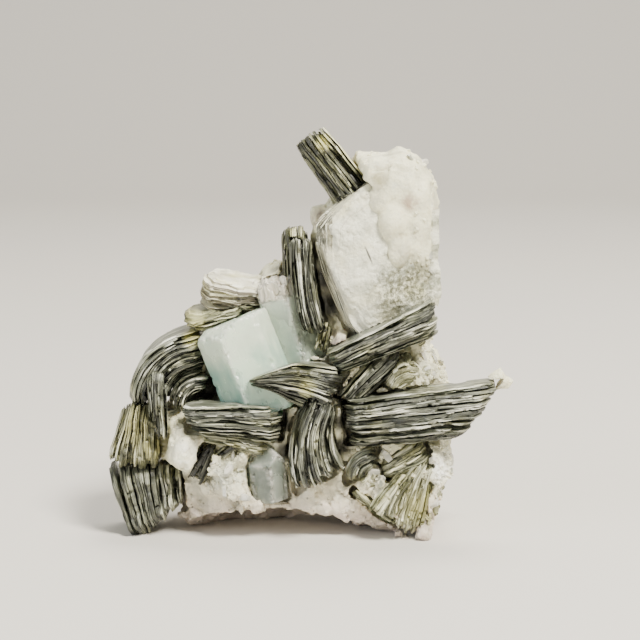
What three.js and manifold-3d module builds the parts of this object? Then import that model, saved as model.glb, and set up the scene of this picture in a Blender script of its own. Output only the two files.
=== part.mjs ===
// Aquamarine with muscovite on an albite matrix: a hand-size mineral specimen.
//
// Millimetres, +Z up. The specimen stands on its trimmed base at Z = 0 and shows its crystals towards -Y.
// Each crystal is one closed solid with its own seat. Where two meet, the one that grew later is cut back
// by the seat of the other, and the matrix is cut by all of them.

import * as THREE from "three";
import { mergeVertices } from "three/addons/utils/BufferGeometryUtils.js";
import Module from "manifold-3d";

const wasm = await Module();
wasm.setup();

// ---- Driving dimensions -------------------------------------------------------------------------------

const SEAT_GAP = 0.3; // clearance between a crystal and what it is seated in
const GROOVE = 0.9; // how far the joint between two mica leaves is cut back from their edges
const LEAF_SHARE = 0.7; // share of the pitch that a mica leaf fills, the rest is the joint
const FRAYED = 0.55; // how far a leaf's edge wanders from the outline of its book
const CORNER_CUT = 0.22; // share of a sheet's depth taken off at each corner of its six-sided outline
const TIP_SLOPE = 0.6; // how far a cut corner reaches along the sheet, against how far it reaches across

const AQUAMARINE_SIDE = 9; // side of the main crystal's hexagon
const AQUAMARINE_LENGTH = 22;
const REAR_AQUAMARINE_SIDE = 6.4;
const REAR_AQUAMARINE_LENGTH = 20;
const QUARTZ_SIDE = 4.6;
const QUARTZ_LENGTH = 13.6;
const QUARTZ_POINT = 6.4; // height of the point that ends the quartz
const BEVEL = 0.8; // narrow bevel round the flat ends of the aquamarines
const WORN_CORNER = 2.4; // how far the main crystal's left corner is worn back

// Middle of the specimen's footprint, where the part's origin lies.
const ORIGIN_X = -0.215;
const ORIGIN_Y = 1.738;

// ---- Materials ----------------------------------------------------------------------------------------

const mica = (color) => new THREE.MeshStandardMaterial({ color, roughness: 0.45, metalness: 0.1 });

const MATERIALS = {
  paleMica: mica(0xd8d5c6),
  greyMica: mica(0x8f8f7c),
  oliveMica: mica(0xa8a584),
  darkMica: mica(0x4a4a40),
  albite: new THREE.MeshStandardMaterial({ color: 0xe2dfd6, roughness: 0.8, metalness: 0 }),
  aquamarine: new THREE.MeshStandardMaterial({
    color: 0xc2d2cb,
    roughness: 0.2,
    metalness: 0,
    transparent: true,
    opacity: 0.8,
  }),
  quartz: new THREE.MeshStandardMaterial({
    color: 0xb9bfb8,
    roughness: 0.15,
    metalness: 0,
    transparent: true,
    opacity: 0.7,
  }),
};

// ---- Small helpers ------------------------------------------------------------------------------------

const radians = THREE.MathUtils.degToRad;
const lerp = THREE.MathUtils.lerp;

// Repeatable noise in the range -1 to 1, one stream for each seed.
function noiseStream(seed) {
  let state = seed * 2654435761;
  return () => {
    state = (state + 0x6d2b79f5) | 0;
    let t = Math.imul(state ^ (state >>> 15), 1 | state);
    t = (t + Math.imul(t ^ (t >>> 7), 61 | t)) ^ t;
    return ((t ^ (t >>> 14)) >>> 0) / 2147483648 - 1;
  };
}

// A closed surface from rings of equally many points. joinCap(ring) gives the triangles that close a ring.
function loft(rings, joinCap) {
  const count = rings[0].length;
  const positions = rings.flat(2);
  const index = [];
  for (let r = 0; r + 1 < rings.length; r++) {
    for (let i = 0; i < count; i++) {
      const next = (i + 1) % count;
      const [a, b] = [r * count + i, r * count + next];
      index.push(a, b, b + count, a, b + count, a + count);
    }
  }
  const last = (rings.length - 1) * count;
  for (const [a, b, c] of joinCap(count)) {
    index.push(c, b, a, last + a, last + b, last + c);
  }
  return new THREE.BufferGeometry()
    .setAttribute("position", new THREE.Float32BufferAttribute(positions, 3))
    .setIndex(index);
}

// A geometry as a solid, in the frame of the matrix given.
function solidOf(geometry, matrix = new THREE.Matrix4()) {
  const bare = new THREE.BufferGeometry();
  bare.setAttribute("position", geometry.getAttribute("position").clone());
  bare.setIndex(geometry.index);
  bare.applyMatrix4(matrix);
  const merged = mergeVertices(bare, 1e-4);
  const triVerts = new Uint32Array(merged.index.array);
  const make = () =>
    new wasm.Manifold(
      new wasm.Mesh({ numProp: 3, vertProperties: merged.attributes.position.array, triVerts }),
    );
  const made = make();
  if (made.volume() > 0) return made;
  triVerts.reverse();
  return make();
}

function geometryOf(solid) {
  const mesh = solid.getMesh();
  return new THREE.BufferGeometry()
    .setAttribute("position", new THREE.BufferAttribute(mesh.vertProperties, 3))
    .setIndex(new THREE.BufferAttribute(mesh.triVerts, 1));
}

// Cutting can leave crumbs: the piece is its largest body.
function largest(solid) {
  return solid.decompose().reduce((a, b) => (b.volume() > a.volume() ? b : a));
}

// ---- Mica books ---------------------------------------------------------------------------------------
//
// A book is a stack of leaves. Its local frame has X along the sheets, Y through the specimen and Z from
// the first leaf to the last. bend curls the sheets about Y, splay opens the stack towards +X, and the
// rakes make the last leaf start and end further along X than the first.

// Where a point of a book lies: u along the sheet, v through the specimen, t from 0 to 1 across the stack.
function bookPoint(book, u, v, t) {
  const opening = 1 + (book.splay ?? 0) * ((2 * u) / book.length);
  const w = (t - 0.5) * book.thickness * opening;
  const angle = (radians(book.bend ?? 0) * u) / book.length;
  if (!angle) return [u, v, w];
  const radius = u / angle;
  return [(radius + w) * Math.sin(angle), v, (radius + w) * Math.cos(angle) - radius];
}

// A sheet's outline as columns across it: each has its place along the sheet and its front and back edge.
function sheetColumns(book) {
  if (book.columns) return book.columns.map(([u, front, back]) => ({ u, front, back }));
  const [halfLength, halfDepth] = [book.length / 2, book.depth / 2];
  const cut = CORNER_CUT * book.depth;
  const tip = { front: cut - halfDepth, back: halfDepth - cut };
  const stations = book.stations ?? 2;
  const middle = Array.from({ length: stations }, (_, i) => ({
    u: lerp(TIP_SLOPE * cut - halfLength, halfLength - TIP_SLOPE * cut, i / (stations - 1)),
    front: -halfDepth,
    back: halfDepth,
  }));
  return [{ u: -halfLength, ...tip }, ...middle, { u: halfLength, ...tip }];
}

function sheetEnds(book, t) {
  return {
    start: -book.length / 2 + (book.startRake ?? 0) * (t - 0.5),
    end: book.length / 2 + (book.endRake ?? 0) * (t - 0.5),
  };
}

// One ring of the stack: the columns stretched between the ends given, with their edges moved outwards.
function sheetRing(book, columns, ends, edge, t) {
  const along = (u) => lerp(ends.start, ends.end, u / book.length + 0.5);
  const front = columns.map((c, i) => bookPoint(book, along(c.u), c.front - edge.front[i], t));
  const back = columns.map((c, i) => bookPoint(book, along(c.u), c.back + edge.back[i], t));
  return [...front, ...back.reverse()];
}

// Closes a ring by joining the front and back of neighbouring columns.
function sheetCap(count) {
  const faces = [];
  for (let i = 0; i + 1 < count / 2; i++) {
    const [a, b, c, d] = [i, i + 1, count - 2 - i, count - 1 - i];
    faces.push([a, b, c], [a, c, d]);
  }
  return faces;
}

function bookGeometry(book) {
  const noise = noiseStream(book.seed);
  const columns = sheetColumns(book);
  const pitch = 1 / book.leaves;
  const leaves = Array.from({ length: book.leaves }, (_, k) => {
    const bottom = k * pitch;
    const top = k + 1 === book.leaves ? 1 : bottom + LEAF_SHARE * pitch;
    const ends = sheetEnds(book, bottom + pitch / 2);
    return {
      bottom,
      top,
      ends: { start: ends.start + FRAYED * noise(), end: ends.end + FRAYED * noise() },
      edge: { front: columns.map(() => FRAYED * noise()), back: columns.map(() => FRAYED * noise()) },
    };
  });
  const rings = [];
  leaves.forEach((leaf, k) => {
    rings.push(sheetRing(book, columns, leaf.ends, leaf.edge, leaf.bottom));
    rings.push(sheetRing(book, columns, leaf.ends, leaf.edge, leaf.top));
    const next = leaves[k + 1];
    if (!next) return;
    const ends = {
      start: Math.max(leaf.ends.start, next.ends.start) + GROOVE,
      end: Math.min(leaf.ends.end, next.ends.end) - GROOVE,
    };
    const inner = (side) => leaf.edge[side].map((edge, i) => Math.min(edge, next.edge[side][i]) - GROOVE);
    const edge = { front: inner("front"), back: inner("back") };
    rings.push(sheetRing(book, columns, ends, edge, leaf.top));
    rings.push(sheetRing(book, columns, ends, edge, next.bottom));
  });
  return loft(rings, sheetCap);
}

// How far a bent sheet's flat facets stray from its true curve.
function facetSag(book) {
  if (!book.bend) return 0;
  const curve = Math.abs(radians(book.bend));
  const radius = book.length / curve + book.thickness / 2;
  const facet = (book.length - 2 * TIP_SLOPE * CORNER_CUT * book.depth) / ((book.stations ?? 2) - 1);
  return radius * (1 - Math.cos((curve * facet) / book.length / 2));
}

// The room that a book takes up in its neighbours: its plain outer form, a seat gap larger all round.
function bookSeat(book) {
  const columns = sheetColumns(book);
  const clearance = (SEAT_GAP + facetSag(book)) / book.thickness;
  const grow = FRAYED + SEAT_GAP;
  const edge = { front: columns.map(() => grow), back: columns.map(() => grow) };
  const step = (rake) => Math.abs(rake ?? 0) / book.leaves / 2;
  const rings = [-clearance, 1 + clearance].map((t) => {
    const { start, end } = sheetEnds(book, t);
    const ends = { start: start - grow - step(book.startRake), end: end + grow + step(book.endRake) };
    return sheetRing(book, columns, ends, edge, t);
  });
  return loft(rings, sheetCap);
}

// Books in the order in which they keep their form: at is the middle of the book, turn its rotation in
// degrees about X, Y and Z.
const FRONT_BOOKS = [
  {
    name: "muscovite_right_book",
    material: "greyMica",
    at: [21.9, -9, 27.4],
    turn: [0, -6.3, 0],
    length: 28.5,
    depth: 13,
    thickness: 11,
    splay: 0.05,
    endRake: 10,
    leaves: 7,
    seed: 11,
  },
  {
    name: "muscovite_upper_right_book",
    material: "greyMica",
    at: [16.1, -8, 44.2],
    turn: [0, -24.5, 0],
    length: 25.5,
    depth: 13,
    thickness: 6.4,
    splay: 0.18,
    endRake: 2.4,
    leaves: 5,
    seed: 12,
  },
  {
    name: "muscovite_bent_book",
    material: "greyMica",
    at: [0.4, -11.5, 22.4],
    turn: [0, 92, 0],
    length: 19,
    depth: 12,
    thickness: 9.6,
    splay: 0.3,
    bend: -58,
    stations: 4,
    leaves: 5,
    seed: 13,
  },
  {
    name: "muscovite_bow_book",
    material: "greyMica",
    at: [-3.6, -10, 34.9],
    turn: [-6, 8, 0],
    length: 19,
    depth: 12.5,
    thickness: 8.6,
    splay: 0.5,
    bend: 34,
    stations: 3,
    leaves: 5,
    seed: 14,
  },
  {
    name: "muscovite_middle_left_book",
    material: "greyMica",
    at: [-16.6, -9, 26.7],
    turn: [0, 2.8, 0],
    length: 21,
    depth: 14,
    thickness: 7.2,
    splay: 0.15,
    bend: 9,
    startRake: -2,
    stations: 3,
    leaves: 5,
    seed: 15,
  },
];

const REAR_BOOKS = [
  {
    name: "muscovite_large_plate",
    material: "paleMica",
    at: [14.1, -3.5, 61.6],
    turn: [90, 0, 10],
    length: 25,
    thickness: 5.2,
    // Across the plate from its left edge to its right: the lower and the upper end of each column.
    columns: [
      [-12.5, 3, 6.5],
      [-11, -3, 8.6],
      [-6, -15, 14],
      [-1.5, -20, 16.5],
      [6.5, -17, 16],
      [12, -10, 9],
    ],
    startRake: 1.6,
    leaves: 4,
    seed: 21,
  },
  {
    name: "muscovite_top_book",
    material: "oliveMica",
    at: [5.6, 1, 80],
    turn: [0, 52, 0],
    length: 19.6,
    depth: 12,
    thickness: 8.6,
    splay: 0.08,
    leaves: 5,
    seed: 22,
  },
  {
    name: "muscovite_upright_book",
    material: "greyMica",
    at: [-1.3, -3.5, 54.9],
    turn: [0, 82, 0],
    length: 21,
    depth: 11,
    thickness: 5.2,
    bend: -22,
    stations: 3,
    leaves: 3,
    seed: 23,
  },
  {
    name: "muscovite_left_foot_book",
    material: "greyMica",
    at: [-35.1, 0.5, 8.6],
    turn: [0, 78, 0],
    length: 14,
    depth: 20,
    thickness: 14.6,
    splay: -0.12,
    startRake: 3,
    endRake: -5.5,
    leaves: 6,
    seed: 24,
  },
  {
    name: "muscovite_left_book",
    material: "oliveMica",
    at: [-38, 0, 21.8],
    turn: [0, 96, 0],
    length: 14.4,
    depth: 20,
    thickness: 9.9,
    splay: 0.24,
    leaves: 5,
    seed: 25,
  },
  {
    name: "muscovite_arch_book",
    material: "greyMica",
    at: [-32, 4, 36.8],
    turn: [0, -45, 0],
    length: 20.2,
    depth: 20,
    thickness: 10,
    bend: 105,
    stations: 5,
    leaves: 4,
    seed: 26,
  },
  {
    name: "muscovite_diagonal_book",
    material: "greyMica",
    at: [12.8, -6, 35.4],
    turn: [0, -45, 0],
    length: 16.5,
    depth: 11,
    thickness: 5.8,
    splay: 0.25,
    leaves: 3,
    seed: 27,
  },
  {
    name: "muscovite_cream_book",
    material: "paleMica",
    at: [-16.8, 5, 52.8],
    turn: [8, 9, 0],
    length: 14.6,
    depth: 14,
    thickness: 6.6,
    leaves: 3,
    seed: 28,
  },
  {
    name: "muscovite_olive_book",
    material: "oliveMica",
    at: [-21, 3, 47.8],
    turn: [8, -12, 0],
    length: 14,
    depth: 14,
    thickness: 4.4,
    leaves: 3,
    seed: 29,
  },
  {
    name: "muscovite_rear_upright_book",
    material: "oliveMica",
    at: [-3, 4, 59],
    turn: [0, 88, 0],
    length: 17,
    depth: 11,
    thickness: 6,
    startRake: -1.6,
    leaves: 3,
    seed: 30,
  },
];

const SMALL_BOOKS = [
  {
    name: "muscovite_back_book",
    material: "oliveMica",
    at: [4, 15, 33],
    turn: [0, 38, 0],
    length: 24,
    depth: 12,
    thickness: 6.5,
    splay: 0.15,
    leaves: 3,
    seed: 39,
  },
  {
    name: "muscovite_inner_blades",
    material: "paleMica",
    at: [-33, -7, 28.9],
    turn: [0, 89, 0],
    length: 15,
    depth: 7,
    thickness: 4.2,
    leaves: 3,
    seed: 31,
  },
  {
    name: "muscovite_shell_book",
    material: "greyMica",
    at: [10.9, -9, 17],
    turn: [0, -45, 0],
    length: 8,
    depth: 8,
    thickness: 4.2,
    bend: 110,
    stations: 3,
    leaves: 3,
    seed: 32,
  },
  {
    name: "muscovite_lower_right_book",
    material: "greyMica",
    at: [20.8, -7.5, 17],
    turn: [0, -28, 0],
    length: 11,
    depth: 9,
    thickness: 5.4,
    splay: 0.2,
    leaves: 3,
    seed: 33,
  },
  {
    name: "muscovite_foot_spray",
    material: "oliveMica",
    at: [22.3, -8, 7.4],
    turn: [0, 102, 0],
    length: 13,
    depth: 8,
    thickness: 5.4,
    splay: -0.2,
    leaves: 3,
    seed: 34,
  },
  {
    name: "muscovite_lower_strip",
    material: "greyMica",
    at: [14.2, -8, 6.8],
    turn: [0, 37, 0],
    length: 12,
    depth: 8,
    thickness: 2.4,
    leaves: 2,
    seed: 35,
  },
  {
    name: "muscovite_dark_flake",
    material: "darkMica",
    at: [-23.7, -8.5, 17.6],
    turn: [0, 110, 0],
    length: 7,
    depth: 5,
    thickness: 2.4,
    leaves: 2,
    seed: 36,
  },
  {
    name: "muscovite_rosette",
    material: "oliveMica",
    at: [18.8, -7, 38],
    turn: [15, -32, 0],
    length: 8.5,
    depth: 8,
    thickness: 5.2,
    bend: 50,
    leaves: 3,
    seed: 37,
  },
  {
    name: "muscovite_small_fan",
    material: "oliveMica",
    at: [2.8, -4.6, 43.8],
    turn: [0, -75, 0],
    length: 7.4,
    depth: 5,
    thickness: 3.2,
    leaves: 2,
    seed: 38,
  },
];

// ---- Prismatic crystals -------------------------------------------------------------------------------

// A six-sided solid along +Z from the origin, from its profile of radii and heights.
function sixSided(profile) {
  return new THREE.LatheGeometry(
    profile.map(([r, z]) => new THREE.Vector2(r, z)),
    6,
  ).rotateX(Math.PI / 2);
}

function prismGeometry(side, length, bevel) {
  return sixSided([[0, 0], [side, 0], [side, length - bevel], [side - bevel, length], [0, length]]);
}

function pointGeometry(side, length, pointHeight) {
  return sixSided([[0, 0], [side, 0], [side, length - pointHeight], [0, length]]);
}

// What is cut off a prism where its corner at the heading given is worn to a slanting facet.
function wornCorner(side, length, heading, wear) {
  const reach = (side + length - wear) / Math.SQRT2;
  return new THREE.BoxGeometry(20, 20, 20)
    .translate(10 + reach, 0, 0)
    .rotateY(-Math.PI / 4)
    .rotateZ(radians(heading));
}

// at is the foot of the crystal, lean its lean to the right and back in degrees, spin its turn on its axis.
const CRYSTALS = {
  main: {
    name: "aquamarine_crystal",
    material: "aquamarine",
    at: [-9.1, -4.3, 27.1],
    lean: [-22, 4],
    spin: -22,
    form: (grow) => prismGeometry(AQUAMARINE_SIDE + grow, AQUAMARINE_LENGTH + grow, BEVEL),
    worn: wornCorner(AQUAMARINE_SIDE, AQUAMARINE_LENGTH, 188, WORN_CORNER),
  },
  rear: {
    name: "aquamarine_rear_crystal",
    material: "aquamarine",
    at: [-2, 0.5, 37.5],
    lean: [-15, 2],
    spin: 8,
    form: (grow) => prismGeometry(REAR_AQUAMARINE_SIDE + grow, REAR_AQUAMARINE_LENGTH + grow, BEVEL),
  },
  quartz: {
    name: "quartz_point",
    material: "quartz",
    at: [-9, -7.6, 8.6],
    lean: [-5, -6],
    spin: 12,
    form: (grow) => pointGeometry(QUARTZ_SIDE + grow, QUARTZ_LENGTH + grow, QUARTZ_POINT),
  },
};

// ---- Matrix -------------------------------------------------------------------------------------------

// A chunk of rock: an outline in front view, anticlockwise, carried through the specimen at the depths
// given, with a share of its full size at each, and roughened.
function rockGeometry({ outline, sections, rough, seed }) {
  const noise = noiseStream(seed);
  const flat = outline.map(([x, z]) => new THREE.Vector2(x, z));
  const middle = flat.reduce((sum, point) => sum.add(point), new THREE.Vector2()).divideScalar(flat.length);
  const rings = sections.map(([y, share]) =>
    flat.map((point) => [
      lerp(middle.x, point.x, share) + rough * noise(),
      y + rough * noise(),
      lerp(middle.y, point.y, share) + rough * noise(),
    ]),
  );
  return loft(rings, () => THREE.ShapeUtils.triangulateShape(flat, []));
}

const ROCKS = [
  {
    // The tower behind the large plate.
    seed: 51,
    rough: 0.6,
    outline: [
      [8, 79], [4, 72], [-0.6, 64], [-1, 52], [0, 40], [8, 32], [24, 32], [26.9, 42], [27.5, 52.7],
      [26.5, 58.5], [27.3, 66.5], [28.2, 72.7], [27.3, 78.7], [26, 80.9], [23.5, 83.1], [19.8, 85.3],
      [16.5, 83.7], [9.8, 83.4],
    ],
    sections: [[-4.5, 0.62], [-2, 0.88], [4, 1], [11, 0.96], [16, 0.6]],
  },
  {
    // The crust that wraps the right edge of the large plate.
    seed: 60,
    rough: 0.35,
    outline: [
      [15.9, 60.4], [18.5, 52.5], [23.5, 51.6], [26.6, 54.3], [26.9, 63], [27.2, 71.8], [26.6, 78.3],
      [24, 82.2], [19.9, 84.2], [16, 83.8], [11.2, 82.6], [10.6, 79.3], [14.1, 76.1], [16.9, 70.7],
      [17.6, 65.2],
    ],
    sections: [[-8.6, 0.5], [-7.4, 0.86], [-4, 1], [1, 1]],
  },
  {
    // The base, trimmed flat underneath.
    seed: 52,
    rough: 0.8,
    outline: [
      [-24, -2], [-12, -2], [6, -2], [20, -2], [26.5, -2], [27.8, 7], [31, 16.5], [30.2, 24], [30, 33.5],
      [28.5, 39], [24, 43], [8, 44], [-4, 40], [-12, 32], [-22, 27], [-33, 26], [-36, 18], [-34, 9],
    ],
    sections: [[-9.5, 0.6], [-7, 0.85], [1, 1], [10, 1], [17, 0.88], [20.3, 0.6]],
  },
  {
    // The shoulder behind the aquamarine.
    seed: 53,
    rough: 0.6,
    outline: [
      [-12, 24], [4, 30], [6, 42], [2, 50], [-3, 57], [-6.6, 59.4], [-10.6, 57.6], [-14, 54], [-20, 50],
      [-27, 45], [-30, 38], [-32, 26],
    ],
    sections: [[-1, 0.62], [2, 0.9], [7, 1], [13, 0.96], [17.5, 0.6]],
  },
  {
    // The lower right foot.
    seed: 54,
    rough: 0.35,
    outline: [
      [11.5, 6.5], [17, 3], [20.5, -1.5], [26.6, -1.5], [27.4, 4], [28.6, 10], [31, 16.4], [29, 22],
      [20, 21], [14, 14],
    ],
    sections: [[-12.5, 0.7], [-10, 0.92], [-4, 1], [4, 0.95]],
  },
  {
    // White albite between the left books and the dark flake.
    seed: 55,
    rough: 0.3,
    outline: [[-31, 17], [-27, 14.5], [-22.5, 16.5], [-22, 23], [-26, 25.5], [-30.6, 24.5]],
    sections: [[-12.5, 0.5], [-11, 0.9], [-3, 1.1]],
  },
  {
    // Knobs of albite to the left of the quartz point.
    seed: 56,
    rough: 0.4,
    outline: [
      [-22.5, 9], [-18, 7.6], [-13.6, 10], [-13.4, 16], [-15, 21], [-18.6, 21.4], [-22.4, 17.5],
    ],
    sections: [[-11.5, 0.5], [-10, 0.88], [-3, 1]],
  },
  {
    // The broken grey wedge beside the two aquamarines.
    seed: 57,
    rough: 0.25,
    outline: [[-7.4, 42], [-5, 38], [-0.6, 38], [0.2, 42], [-4.4, 48], [-8, 46.6]],
    sections: [[-5.5, 0.5], [-4, 0.9], [3, 1]],
  },
  {
    // The pinkish knob above the bow-shaped book.
    seed: 58,
    rough: 0.2,
    outline: [[4, 40], [6, 38.5], [9.6, 40], [9, 43.8], [6, 45], [4.2, 43]],
    sections: [[-7.5, 0.5], [-6, 0.9], [2, 1]],
  },
];

// The albite bead at the far end of the right book.
const BEAD = {
  seed: 59,
  rough: 0.2,
  outline: [[38.2, 34.8], [40.4, 33], [43, 33.4], [44.3, 35], [42.6, 36], [41.4, 37.6], [39.4, 36.4]],
  sections: [[-12, 0.5], [-10.8, 0.95], [-7.5, 0.95], [-6, 0.5]],
};

// Hollows in the matrix. The ones under the trimmed base leave it standing on its left, its right and its
// rear part, the last one opens the space below the arched book.
const HOLLOWS = [
  { at: [-8, -8, -4], radii: [27, 21, 11.2] },
  { at: [4, 12, -4], radii: [12, 20, 7] },
  { at: [-24.5, -6, 31.2], radii: [7, 12, 4.6] },
];

// ---- Assembly -----------------------------------------------------------------------------------------

const specimen = new THREE.Group();
specimen.name = "aquamarine_with_muscovite";
specimen.position.set(-ORIGIN_X, -ORIGIN_Y, 0);

// The pieces placed so far, each with the room it takes up, as solids in the specimen's frame.
const seats = [];

// Everything under the trimmed base.
const belowBase = solidOf(new THREE.BoxGeometry(200, 200, 50).translate(0, 0, -25));

// Adds a piece as a mesh of the specimen, cut back by the seats of the pieces placed before it.
function place({ name, material, geometry, seat, worn, at = [0, 0, 0], turn = new THREE.Euler() }) {
  const mesh = new THREE.Mesh(geometry, MATERIALS[material]);
  mesh.name = name;
  mesh.position.set(...at);
  mesh.rotation.copy(turn);
  mesh.updateMatrix();
  let solid = solidOf(geometry, mesh.matrix).subtract(belowBase);
  if (worn) solid = solid.subtract(solidOf(worn, mesh.matrix));
  for (const taken of seats) solid = solid.subtract(taken);
  mesh.geometry = geometryOf(largest(solid)).applyMatrix4(mesh.matrix.clone().invert());
  specimen.add(mesh);
  if (seat) seats.push(solidOf(seat, mesh.matrix));
}

function placeBook(book) {
  const turn = new THREE.Euler(...book.turn.map(radians), "ZYX");
  place({ ...book, geometry: bookGeometry(book), seat: bookSeat(book), turn });
}

function placeCrystal(crystal) {
  const [right, back] = crystal.lean;
  const spun = (geometry) => geometry.rotateZ(radians(crystal.spin));
  place({
    ...crystal,
    geometry: spun(crystal.form(0)),
    seat: spun(crystal.form(1.2 * SEAT_GAP)).translate(0, 0, -SEAT_GAP),
    turn: new THREE.Euler(radians(-back), radians(right), 0, "XYZ"),
  });
}

// All the chunks of the matrix as one solid, hollowed underneath.
function matrixGeometry() {
  const chunks = ROCKS.map((rock) => solidOf(rockGeometry(rock)));
  const hollows = HOLLOWS.map(({ at, radii }) =>
    solidOf(new THREE.IcosahedronGeometry(1, 1).scale(...radii).translate(...at)),
  );
  const whole = chunks.reduce((sum, chunk) => sum.add(chunk));
  return geometryOf(hollows.reduce((rest, hollow) => rest.subtract(hollow), whole));
}

FRONT_BOOKS.forEach(placeBook);
placeCrystal(CRYSTALS.main);
REAR_BOOKS.forEach(placeBook);
placeCrystal(CRYSTALS.rear);
placeCrystal(CRYSTALS.quartz);
SMALL_BOOKS.forEach(placeBook);
place({ name: "albite_bead", material: "albite", geometry: rockGeometry(BEAD) });
place({ name: "albite_matrix", material: "albite", geometry: matrixGeometry() });

export default specimen;
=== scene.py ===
import math
from functools import partial

import bmesh
import bpy
import numpy as np
from bpy.props import FloatProperty, FloatVectorProperty, PointerProperty
from mathutils import Matrix, Vector
from mathutils.bvhtree import BVHTree


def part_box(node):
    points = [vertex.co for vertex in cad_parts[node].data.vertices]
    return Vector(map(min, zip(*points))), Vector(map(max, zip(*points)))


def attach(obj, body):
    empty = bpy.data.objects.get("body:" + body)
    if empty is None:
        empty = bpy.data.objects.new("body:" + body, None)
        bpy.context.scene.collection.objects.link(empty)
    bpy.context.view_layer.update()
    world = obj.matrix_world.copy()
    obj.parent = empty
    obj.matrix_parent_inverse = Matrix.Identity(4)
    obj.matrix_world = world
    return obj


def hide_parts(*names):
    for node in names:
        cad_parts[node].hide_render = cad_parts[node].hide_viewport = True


bl_info = {
    "name": "Aquamarine with muscovite",
    "version": (1, 0, 0),
    "blender": (4, 5, 0),
    "location": "3D View > Sidebar > Specimen",
    "description": "Dresses a mineral specimen: muscovite books, aquamarine and quartz on albite",
    "category": "Add Mesh",
}

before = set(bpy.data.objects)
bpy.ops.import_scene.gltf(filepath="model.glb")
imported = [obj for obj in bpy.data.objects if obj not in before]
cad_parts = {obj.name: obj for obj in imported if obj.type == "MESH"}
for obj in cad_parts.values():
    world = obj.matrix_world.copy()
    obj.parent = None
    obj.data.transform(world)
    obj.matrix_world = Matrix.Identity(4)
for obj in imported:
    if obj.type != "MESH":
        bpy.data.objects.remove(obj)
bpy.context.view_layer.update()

MM = 0.001

# Middle of the specimen's footprint in the coordinates that the books and crystals below are given in.
ORIGIN = Vector((-0.215, 1.738, 0.0))

# A sheet of mica is six-sided: the share of its depth cut off at each corner, and the slope of the cut.
CORNER_CUT = 0.22
TIP_SLOPE = 0.6

# The books of mica, in millimetres and degrees, each with the CAD node that it dresses. A book keeps its
# form against the ones that follow it in the list, and so do the crystals named between them.
# bend curls the sheets, splay opens the stack to one end, the rakes slant its two ends and pinch thins its
# start. dome is how far the outer leaves draw back, and terrace how far they stop short of the start.
# finish names one of the mica's finishes, where it isn't the one with the slot's name.
FRONT_BOOKS = (
    dict(
        node="muscovite_right_book", slot="muscovite_grey", at=(22.9, -9.0, 27.5), turn=(0, -6.3, 0),
        size=(30.5, 13, 11), splay=0.05, end_rake=10,
    ),
    dict(
        node="muscovite_upper_right_book", slot="muscovite_grey", at=(16.1, -8.0, 44.2),
        turn=(0, -24.5, 0), size=(25.5, 13, 6.4), splay=0.18, end_rake=2.4,
    ),
    dict(
        node="muscovite_bent_book", slot="muscovite_grey", at=(0.4, -11.5, 22.4), turn=(0, 92, 0),
        size=(19, 12, 9.6), splay=0.3, bend=-58,
    ),
    dict(
        node="muscovite_bow_book", slot="muscovite_grey", at=(-3.6, -10.0, 34.9), turn=(-6, 8, 0),
        size=(19, 12.5, 8.6), splay=0.5, bend=34, pinch=0.45,
    ),
    dict(
        node="muscovite_middle_left_book", slot="muscovite_grey", at=(-16.6, -9.0, 26.7),
        turn=(0, 2.8, 0), size=(21, 14, 7.2), splay=0.15, bend=9, start_rake=-2,
    ),
)

# On the plate's face, in millimetres: the rough patch (x, z, radius), and the slit (its middle, how far it
# leans in degrees, its length and its width).
ROUGH_PATCH = (20.6, 54.6, 9.0)
SLIT = ((12.7, 62.4), 23.0, 4.6, 0.5)

PLATE = {
    "node": "muscovite_large_plate",
    "slot": "muscovite_pale",
    "at": (14.1, -3.5, 61.6),
    "turn": (90, 0, 10),
    "size": (25, 33, 5.2),
    "start_rake": 1.6,
    "terrace": 3.4,
    "dome": 0.3,
    "finish": "plate",
    # Across the plate from its left edge to its right: the lower and the upper end of each column.
    "columns": (
        (-12.5, 3, 6.5),
        (-11, -3, 8.6),
        (-6, -15, 14),
        (-1.5, -20, 16.5),
        (6.5, -17, 16),
        (12, -10, 9),
    ),
}

# The thin crust on the plate, in millimetres: how far it swells, the height of its terraces and of its
# grain, and how much thicker it is on the rough patch.
PLATE_CRUST = {"Swell": 3.2, "Terrace": 0.35, "Grain": 1.7, "Patch": 1.7}

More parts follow.
